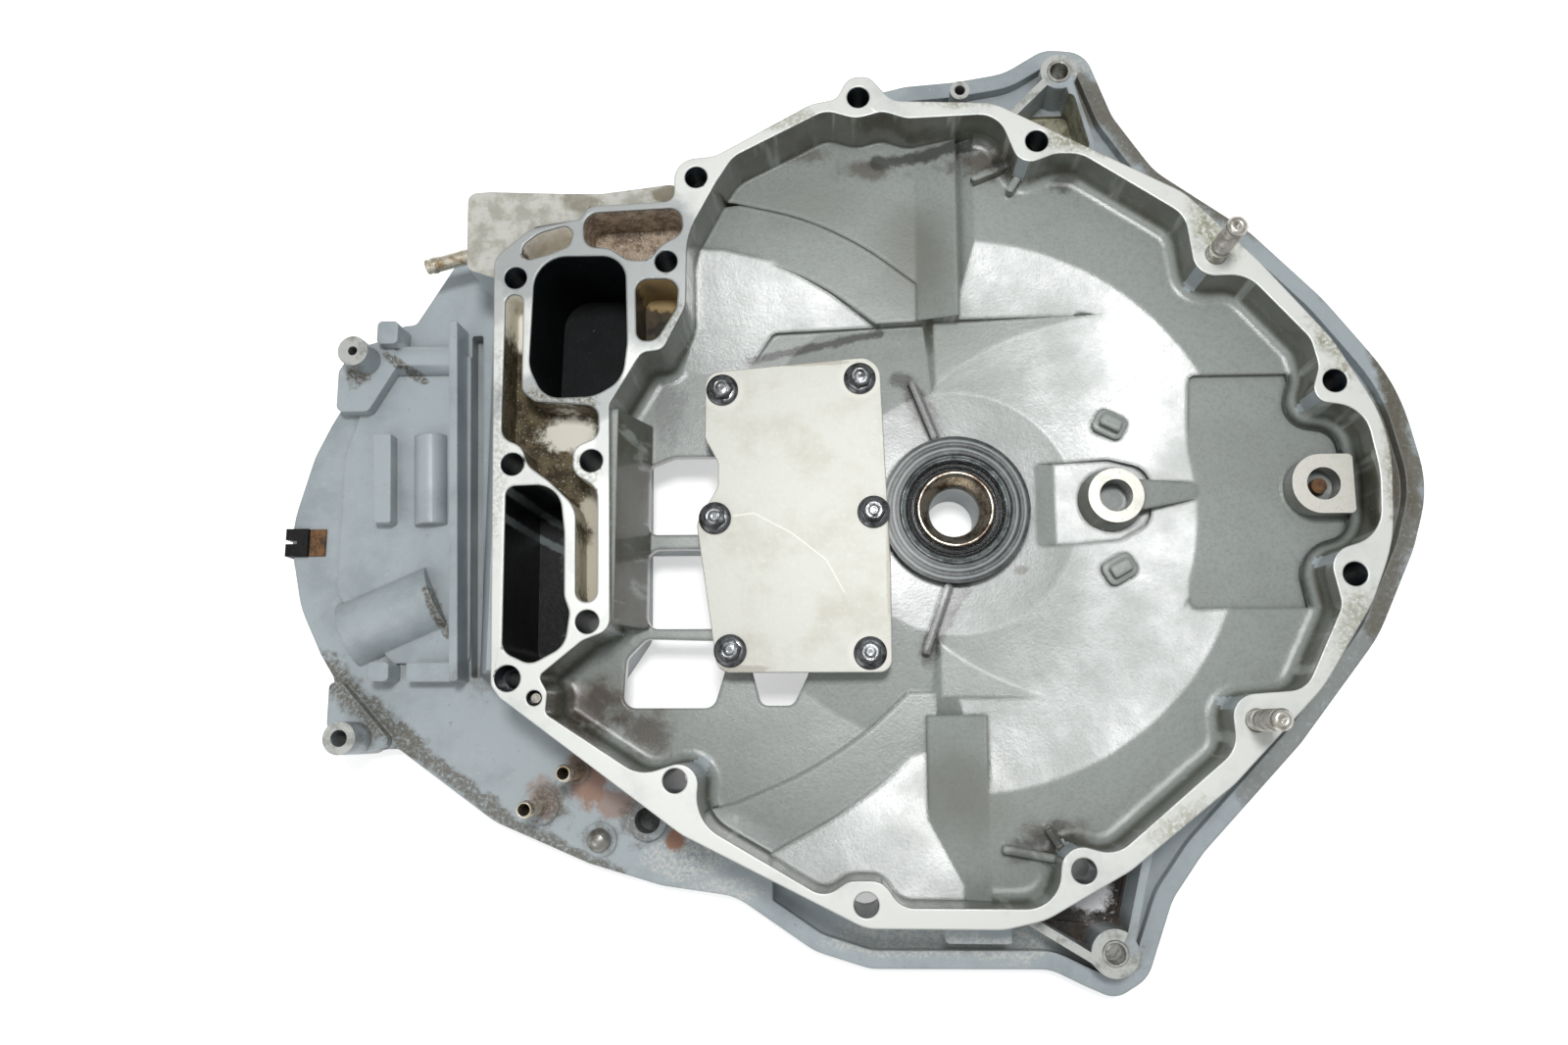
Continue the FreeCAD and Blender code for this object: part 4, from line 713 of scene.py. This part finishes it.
def softenOutline(piece, chosenFaces, width, chosenEdges=None):
    # rounds the outline of flat faces, or only those edges of it that are chosen by their middle
    editOn(piece, "FACE", chosenFaces)
    bpy.ops.mesh.region_to_loop()
    if chosenEdges:
        editOff()
        corners = piece.data.vertices
        for edge in piece.data.edges:
            if edge.select:
                middle = (corners[edge.vertices[0]].co + corners[edge.vertices[1]].co) / 2 / mm
                edge.select = chosenEdges(middle)
        bpy.ops.object.mode_set(mode="EDIT")
    bpy.ops.mesh.bevel(offset=width * mm, segments=2, affect="EDGES", clamp_overlap=False)
    editOff()


castingLook = {
    "landEdge": 0.5, "portLip": 0.8, "lipReach": 2.4, "smoothBelow": 32, "land": 62,
    "levelAbove": 0.93, "creaseAbove": 1.3, "flatFrom": 6,
}


def creaseFloors(piece):
    # large level faces are flat and the slight bends between them stay crisp
    mesh = piece.data
    sides = {}
    for face in mesh.polygons:
        if face.normal.z > castingLook["levelAbove"]:
            face.use_smooth = face.area < castingLook["flatFrom"] * mm * mm
            for key in face.edge_keys:
                sides.setdefault(key, []).append(face.normal)
    for edge in mesh.edges:
        pair = sides.get(tuple(sorted(edge.vertices)), [])
        if len(pair) == 2 and pair[0].angle(pair[1], 0) > math.radians(castingLook["creaseAbove"]):
            edge.use_edge_sharp = True


def onLand(centre, normal):
    return normal.z > 0.99 and abs(centre.z - castingLook["land"]) < 0.05


def byPort(middle):
    spot = (middle.x, middle.y)
    for name in portNames:
        corners = castingOutlines[name]
        if inside(spot, corners) or toOutline(spot, corners) < castingLook["lipReach"]:
            return True
    return False


dirtLooks = {
    "exhaustPort": {
        "name": "exhaustSoot", "base": tone(10, 13, 15), "second": tone(18, 21, 23),
        "crumb": tone(150, 156, 158), "roughness": 0.6, "scale": 100.0, "crumbs": (0.7, 0.73),
        "patches": [(tone(150, 156, 160), [(-135.5, 54, 5, 7, 0.9)], [])],
    },
    "lowerPort": {
        "name": "lowerSoot", "base": tone(10, 11, 11), "second": tone(18, 19, 18),
        "crumb": tone(90, 90, 86), "roughness": 0.5, "scale": 90.0, "coat": 0.1,
        "crumbs": (0.72, 0.76),
        # the lighter runs paint the lit sides of two slanted ribs that are not modelled: painted
        # light
        "patches": [(tone(112, 120, 120), [(-157, -52, 9, 12, 0.8), (-160, -10, 8, 26, 0.4)],
                     [(-178, 6, -158, -6, 2.2, 0.9), (-177, -6, -157, -16, 2.2, 0.9)])],
    },
    "waterPort": {
        "name": "waterDeposit", "base": tone(108, 98, 76), "second": tone(66, 58, 46),
        "crumb": tone(216, 212, 198), "roughness": 0.8, "scale": 170.0, "crumbs": (0.6, 0.68),
        "patches": [
            (tone(246, 243, 230), [(-157, 32, 14, 9, 0.85), (-176, 78, 8, 14, 0.95)], []),
            (tone(216, 211, 194), [(-145, 0, 8, 12, 0.8), (-144.5, -24, 7, 20, 0.85)], []),
        ],
    },
    "kidneyPort": {
        "name": "kidneyDeposit", "base": tone(252, 248, 238), "second": tone(236, 230, 216),
        "crumb": tone(252, 250, 244), "roughness": 0.7, "scale": 200.0, "crumbs": (0.6, 0.72),
        "patches": [(tone(92, 70, 52), [(-171, 101.5, 6, 4, 0.95)], [])],
    },
    "oilPocket": {
        "name": "oilPocketDirt", "base": tone(180, 162, 142), "second": tone(118, 102, 86),
        "crumb": tone(244, 240, 230), "roughness": 0.6, "scale": 240.0, "coat": 0.2,
        "crumbs": (0.58, 0.66), "patches": [(tone(44, 42, 34), [(-120, 104, 9, 5, 0.9)], [])],
    },
    "taperPocket": {
        "name": "taperPocketDirt", "base": tone(84, 74, 58), "second": tone(50, 46, 38),
        "crumb": tone(150, 132, 98), "roughness": 0.6, "scale": 200.0, "coat": 0.2,
        "crumbs": (0.64, 0.74), "patches": [(tone(176, 152, 108), [(-119, 89, 11, 5, 0.95)], [])],
    },
    "hole": {
        "name": "holeWall", "base": tone(40, 50, 60), "second": tone(22, 26, 30),
        "crumb": tone(130, 134, 136), "roughness": 0.3, "scale": 150.0, "coat": 0.3,
    },
    "lugPocketTop": {
        "name": "topPocketDirt", "base": tone(164, 162, 140), "second": tone(110, 106, 88),
        "crumb": tone(200, 198, 180), "roughness": 0.5, "scale": 150.0, "coat": 0.2,
    },
    "lugPocketBottom": {
        "name": "bottomPocketDirt", "base": tone(58, 46, 36), "second": tone(32, 26, 22),
        "crumb": tone(224, 220, 216), "roughness": 0.4, "scale": 130.0, "coat": 0.6,
        "crumbs": (0.62, 0.7), "patches": [(tone(250, 250, 252), [(53, -152, 11, 10, 0.95)], [])],
    },
    "roughTop": {
        "name": "roughCastTop", "base": tone(190, 190, 183), "second": tone(160, 159, 149),
        "crumb": tone(216, 215, 207), "roughness": 0.7, "scale": 120.0, "crumbs": (0.62, 0.74),
        "patches": [(tone(112, 104, 84), [(-152, 126, 10, 5, 0.5), (-116, 128, 8, 5, 0.8)], [])],
    },
}
metalLooks = {
    "turned": {
        "name": "turnedFace", "colour": tone(214, 212, 204), "dark": tone(196, 195, 186),
        "roughness": 0.32, "metallic": 0.4,
    },
    "lugTop": {
        "name": "lugFace", "colour": tone(188, 190, 186), "dark": tone(140, 142, 138),
        "roughness": 0.4, "metallic": 0.4, "scale": 150.0,
    },
    "engineFace": {
        "name": "engineFace", "colour": tone(182, 184, 182), "dark": tone(146, 149, 148),
        "roughness": 0.4, "metallic": 0.5, "scale": 60.0,
    },
}


def dressedCasting():
    piece = copyOfNode("adapter_casting")
    softenOutline(piece, onLand, castingLook["landEdge"], lambda middle: not byPort(middle))
    softenOutline(piece, onLand, castingLook["portLip"], byPort)
    finishes = {
        "paint": paintMaterial(), "land": landMaterial(), "cavity": cavityMaterial(),
        "hubOil": hubOilMaterial(),
    }
    for name, look in dirtLooks.items():
        finishes[name] = dirtyMaterial(**look)
    for name, look in metalLooks.items():
        finishes[name] = steelMaterial(**look)
    order = list(finishes)
    piece.data.materials.clear()
    for name in order:
        piece.data.materials.append(finishes[name])
    corners = piece.data.vertices
    for face in piece.data.polygons:
        reach = max(corners[number].co.xy.length for number in face.vertices) / mm
        face.material_index = order.index(castingRegion(face.center / mm, face.normal, reach))
    settle(piece, "dressedCasting", castingLook["smoothBelow"])
    creaseFloors(piece)
    applied(piece, "WEIGHTED_NORMAL", "flatFaces", weight=100, keep_sharp=True)
    return belongs(piece, "casting", "adapter_casting")


casting = dressedCasting()
print("casting dressed:", len(casting.data.polygons), "faces")


coverLook = {
    "top": 44, "base": tone(186, 187, 179), "warm": tone(174, 172, 161),
    "mark": tone(204, 204, 196), "ring": tone(214, 213, 206), "dirt": tone(126, 118, 102),
    "scratch": [(-89, -3, -81, -2, 0.5, 0.7), (-81, -2, -66, -10, 0.4, 0.7),
                (-66, -10, -52, -21, 0.4, 0.7), (-52, -21, -45, -34, 0.4, 0.6)],
    "rings": [(-94, 49, 10, 10, 0.5), (-38, 53, 10, 10, 0.5), (-35, -58, 10, 10, 0.5)],
    "smears": [(-86, -64, 14, 1.6, 0.5), (-60, 60, 26, 1.5, 0.5), (-27, -20, 1.5, 30, 0.4)],
}


def coverMaterial():
    material, tree, shader = newMaterial("beigeSteel", 0.45, 0.15)
    place = put(tree, "TexCoord", out=3)
    look = coverLook
    cloud = noiseAt(tree, place, 40.0, 6.0, 0.65)
    fine = noiseAt(tree, place, 500.0, 3.0, 0.7)
    colour = blendColour(tree, step(tree, cloud, 0.4, 0.7), look["base"], look["warm"])
    colour = blendColour(tree, step(tree, fine, 0.5, 0.8, 0.0, 0.4), colour, look["mark"])
    colour = colourPatches(tree, colour, look["ring"], look["rings"], look["scratch"], ragged=0.3)
    colour = colourPatches(tree, colour, look["dirt"], look["smears"], scale=160.0)
    wire(tree, shader, colour=colour)
    roundEdges(tree, shader, fine, 0.0004, 0.12, 0.0003)
    return material


def dressedCover():
    piece = copyOfNode("cover_plate")
    softenOutline(
        piece, lambda centre, normal: normal.z > 0.99 and centre.z > coverLook["top"] - 0.05, 0.4
    )
    piece.data.materials.clear()
    piece.data.materials.append(coverMaterial())
    settle(piece, "dressedCover", 35)
    applied(piece, "WEIGHTED_NORMAL", "flatFaces", weight=100, keep_sharp=True)
    return belongs(piece, "cover", "cover_plate")


dressedCover()
print("cover dressed")

boltLook = {
    "face": 44.0, "flange": 6.5, "flangeEdge": 1.2, "across": 8.0, "head": 5.2, "dish": 2.7,
    "turns": (17, 34, 51, 68, 85, 102), "firstTurn": 17,
    "steel": {"colour": tone(96, 98, 100), "dark": tone(30, 31, 33), "roughness": 0.3,
              "metallic": 0.85, "scale": 260.0, "coat": 0.5},
}


def coverBolts():
    # one flanged hexagon bolt at the origin, then copies at the six places
    steel = steelMaterial("oiledBlackSteel", **boltLook["steel"])
    reach = boltLook["across"] / math.sqrt(3)
    deselectAll()
    bpy.ops.mesh.primitive_cylinder_add(
        vertices=6, radius=reach * mm, depth=boltLook["head"] * mm,
        location=(0, 0, (boltLook["face"] + boltLook["head"] / 2) * mm),
    )
    head = bpy.context.object
    topLevel = boltLook["face"] + boltLook["head"]
    pick(head)
    bpy.ops.object.transform_apply(location=True, rotation=True, scale=True)
    editOn(head, "FACE", lambda centre, normal: normal.z > 0.9)
    bpy.ops.mesh.bevel(offset=0.55 * mm, segments=2, affect="EDGES")
    editOn(head, "FACE", lambda centre, normal: normal.z > 0.99 and centre.z > topLevel - 0.1)
    bpy.ops.mesh.subdivide(number_cuts=3)
    editOff()
    rings = [
        (boltLook["dish"] + 0.5, 0.02), (boltLook["dish"], 0.02), (boltLook["dish"] - 0.35, -0.1),
        (1.6, 0.06), (1.3, 0.1), (0.9, 0.02), (0.3, 0.02),
    ]
    dish = latheRing(
        "boltMark", (0, 0, topLevel),
        [(boltLook["dish"] + 0.6, -0.3)] + rings + [(0.3, -0.3)], 36, 30,
    )
    flange = latheRing(
        "boltFlange", (0, 0, boltLook["face"]),
        [(3.1, -9), (3.1, 0.02), (boltLook["flange"] - 0.2, 0.02), (boltLook["flange"], 0.3),
         (boltLook["flange"], 0.9), (boltLook["flange"] - 0.3, boltLook["flangeEdge"]),
         (4.9, 1.6), (3.4, 1.75), (1.0, 1.75), (1.0, -9)], 48, 30,
    )
    pick(head, dish, flange)
    bpy.ops.object.join()
    head.data.materials.clear()
    head.data.materials.append(steel)
    head.data.transform(Matrix.Rotation(math.radians(boltLook["firstTurn"]), 4, "Z"))
    for number, (x, y) in enumerate(castingMarks["coverBolts"], start=1):
        bolt = head.copy()
        bolt.data = head.data.copy()
        bpy.context.scene.collection.objects.link(bolt)
        turn = Matrix.Rotation(math.radians(boltLook["turns"][number - 1]), 4, "Z")
        bolt.data.transform(Matrix.Translation(Vector((x, y, 0)) * mm) @ turn)
        settle(bolt, "flangedBolt%d" % number, 30)
        belongs(bolt, "dark_steel", "cover_bolt_%d" % number)
    bpy.data.objects.remove(head)


coverBolts()
print("cover bolts ready")

studLook = {
    "radius": 4.0, "root": 3.45, "pitch": 1.25, "stand": 28, "threadFrom": 8, "threadTo": 26.2,
    "neck": 3.3, "foot": 62,
    "steel": {"colour": tone(206, 204, 196), "dark": tone(150, 146, 136), "roughness": 0.28,
              "metallic": 0.9},
}


def studs():
    look = studLook
    steel = steelMaterial("brightStud", **look["steel"])
    profile = [(look["radius"] - 1.2, -21), (look["radius"], -19.8), (look["radius"], 1.5),
               (look["neck"], 2.3), (look["neck"], 4.3), (look["radius"], 5.1),
               (look["radius"], look["threadFrom"])]
    level = look["threadFrom"]
    while level + look["pitch"] <= look["threadTo"]:
        profile += [(look["root"], level + look["pitch"] * 0.5),
                    (look["radius"], level + look["pitch"])]
        level += look["pitch"]
    profile += [(look["radius"], look["stand"] - 1.4), (look["radius"] - 0.9, look["stand"] - 0.4),
                (look["radius"] - 1.4, look["stand"]), (1.3, look["stand"]),
                (1.1, look["stand"] - 0.2), (0.15, look["stand"] - 1.1)]
    for name, (x, y) in castingMarks["studs"].items():
        foot = (x, y, look["foot"])
        piece = latheRing("stud" + name.capitalize(), foot, profile, 48, 50, capped=True)
        piece.data.materials.append(steel)
        belongs(piece, "stud_steel", "stud_" + name)


studs()
print("studs ready")

sealLook = {
    "base": 29.0, "sides": 96,
    "case": {"colour": tone(110, 116, 116), "dark": tone(44, 47, 47), "roughness": 0.3,
             "metallic": 0.6, "scale": 260.0, "coat": 0.4},
    "rubber": {"colour": tone(30, 32, 33), "dark": tone(12, 12, 12), "roughness": 0.25,
               "metallic": 0.0, "scale": 300.0, "coat": 1.0},
    "sleeve": {"colour": tone(168, 160, 146), "dark": tone(78, 62, 50), "roughness": 0.26,
               "metallic": 0.8, "scale": 160.0},
}


def shaftSeal():
    # pressed case, ribbed black lip and the bright sleeve, drawn out as rings
    black = steelMaterial("oiledRubber", **sealLook["rubber"])
    caseSteel = steelMaterial("oiledSealSteel", **sealLook["case"])
    sleeveSteel = steelMaterial("brightSleeve", **sealLook["sleeve"])
    base = sealLook["base"]
    case = latheRing(
        "sealCase", (0, 0, base),
        [(19.9, 0), (22.5, 0), (22.5, 8.3), (22.2, 8.8), (21.7, 9), (21.3, 8.9), (21.1, 8.5),
         (20.7, 8.4), (20.5, 8.8), (20.2, 8.9), (19.9, 8.5)], sealLook["sides"],
    )
    case.data.materials.append(caseSteel)
    belongs(case, "seal_steel", "seal_case")
    lip = latheRing(
        "sealLip", (0, 0, base),
        [(15.54, 0), (19.86, 0), (19.86, 7.6), (19.5, 7.8), (19.2, 7.4), (18.9, 6.8), (18.5, 6.7),
         (18.2, 7.3), (17.9, 7.7), (17.5, 7.6), (17.3, 7.0), (16.9, 6.6), (16.6, 6.8), (16.4, 7.5),
         (16.1, 7.9), (15.8, 7.8), (15.54, 7.3)], sealLook["sides"],
    )
    lip.data.materials.append(black)
    belongs(lip, "seal_rubber", "seal_rubber")
    sleeve = latheRing(
        "sealSleeve", (0, 0, base),
        [(10.3, 0), (15.5, 0), (15.5, 9.5), (15.2, 9.9), (14.8, 10), (14.4, 9.9), (14.1, 9.5),
         (13.9, 9.0), (13.9, 6.5), (13.2, 5.6), (11.6, 3.4), (10.6, 2.2), (10.3, 1.5)],
        sealLook["sides"],
    )
    sleeve.data.materials.append(sleeveSteel)
    belongs(sleeve, "sleeve_steel", "seal_sleeve")


shaftSeal()
print("shaft seal ready")

fittingFinishes = {
    "nipple_upper": "nipple", "nipple_lower": "nipple", "nipple_side": "nipple",
    "shelf_plug": "plug", "lug_bush_top": "bush", "lug_bush_bottom": "bush",
    "rim_clip": "clip", "rim_clip_tongue": "rust", "locating_pin": "stud", "pad_bolt": "rust",
}


fittingSteels = {
    "nipple": {"name": "plated", "colour": tone(214, 208, 192), "dark": tone(140, 122, 92),
               "roughness": 0.3, "metallic": 0.85},
    "plug": {"name": "plugPlating", "colour": tone(150, 148, 142), "dark": tone(96, 92, 86),
             "roughness": 0.34, "metallic": 0.7},
    "bush": {"name": "bushSteel", "colour": tone(190, 190, 186), "dark": tone(130, 128, 120),
             "roughness": 0.3, "metallic": 0.9},
    "stud": {"name": "pinSteel", "colour": tone(196, 194, 186), "dark": tone(130, 126, 116),
             "roughness": 0.3, "metallic": 0.9},
}
fittingDirts = {
    "clip": {"name": "blackPlastic", "base": tone(26, 26, 27), "second": tone(16, 16, 17),
             "crumb": tone(60, 60, 60), "roughness": 0.5},
    "rust": {"name": "rustySteel", "base": tone(120, 88, 58), "second": tone(74, 58, 46),
             "crumb": tone(170, 140, 100), "roughness": 0.65, "scale": 300.0},
}


def fittings():
    # the small solids keep their shape and get their own finish
    looks = {name: steelMaterial(**look) for name, look in fittingSteels.items()}
    for name, look in fittingDirts.items():
        looks[name] = dirtyMaterial(**look)
    for name, look in fittingFinishes.items():
        for slotOnNode in nodes[name].material_slots:
            slotOnNode.material = looks[look]


fittings()
print("fittings finished")

# White floor under the engine face, white to the camera, with the part's shadow kept
studio = {
    "floorReach": 3.0, "floorDown": 0.0002, "floorGrey": (0.8, 0.8, 0.8, 1), "floorGlow": 0.5,
    "skyWhite": 0.52,
    "boxAbove": {"place": (-0.012, 0.175, 1.15), "aim": (0, 0, 0), "reach": 0.16, "watts": 7.0},
    "boxFill": {"place": (-0.7, -0.6, 0.9), "aim": (0, 0, 0.03), "reach": 0.6, "watts": 2.2},
}


def whiteFloor():
    deselectAll()
    bpy.ops.mesh.primitive_plane_add(
        size=studio["floorReach"], location=(0, 0, -studio["floorDown"])
    )
    floor = bpy.context.object
    floor.name = "studioFloor"
    material, tree, shader = newMaterial("floorWhite", 0.9)
    shader.inputs["Base Color"].default_value = studio["floorGrey"]
    shader.inputs["Specular IOR Level"].default_value = 0.0
    path = tree.nodes.new("ShaderNodeLightPath").outputs
    seen = calc(
        tree, "MAXIMUM", calc(tree, "MAXIMUM", path["Is Camera Ray"], path["Is Glossy Ray"]),
        path["Is Transmission Ray"],
    )
    glow = calc(tree, "MULTIPLY", seen, studio["floorGlow"])
    tree.links.new(glow, shader.inputs["Emission Strength"])
    shader.inputs["Emission Color"].default_value = (1, 1, 1, 1)
    floor.data.materials.append(material)


def world():
    # soft grey light from all round, white to the camera
    sky = bpy.data.worlds.new("studioSky")
    bpy.context.scene.world = sky
    sky.use_nodes = True
    tree = sky.node_tree
    shade = tree.nodes["Background"].inputs
    shade["Color"].default_value = (1, 1, 1, 1)
    seen = tree.nodes.new("ShaderNodeLightPath").outputs["Is Camera Ray"]
    tree.links.new(calc(tree, "MAXIMUM", seen, studio["skyWhite"]), shade["Strength"])


def softbox(name, place, aim, reach, watts):
    light = bpy.data.lights.new(name, "AREA")
    light.shape = "SQUARE"
    light.size = reach
    light.energy = watts
    lamp = bpy.data.objects.new(name, light)
    lamp.location = place
    lamp.rotation_euler = (Vector(aim) - Vector(place)).to_track_quat("-Z", "Y").to_euler()
    bpy.context.scene.collection.objects.link(lamp)


photoView = {
    "lens": 28.125, "sensor": 36, "nearest": 0.01, "place": (-0.0422, -0.0878, 0.526),
    "right": (0.998479, 0, -0.05513), "up": (0.009219, 0.985919, 0.16696),
    "back": (0.054353, -0.167214, 0.98442),
}


def photoCamera():
    # nearly straight above the part, as the photograph was taken
    lens = bpy.data.cameras.new("photoCamera")
    lens.lens = photoView["lens"]
    lens.sensor_width = photoView["sensor"]
    lens.clip_start = photoView["nearest"]
    camera = bpy.data.objects.new("photoCamera", lens)
    ways = [Vector(photoView[name]) for name in ("right", "up", "back")]
    turn = Matrix(ways).transposed().to_4x4()
    camera.matrix_world = Matrix.Translation(photoView["place"]) @ turn
    bpy.context.scene.collection.objects.link(camera)
    bpy.context.scene.camera = camera


whiteFloor()
world()
for name in ("boxAbove", "boxFill"):
    softbox(name, **studio[name])
photoCamera()
bpy.context.scene.view_settings.view_transform = "Standard"
print("studio ready")
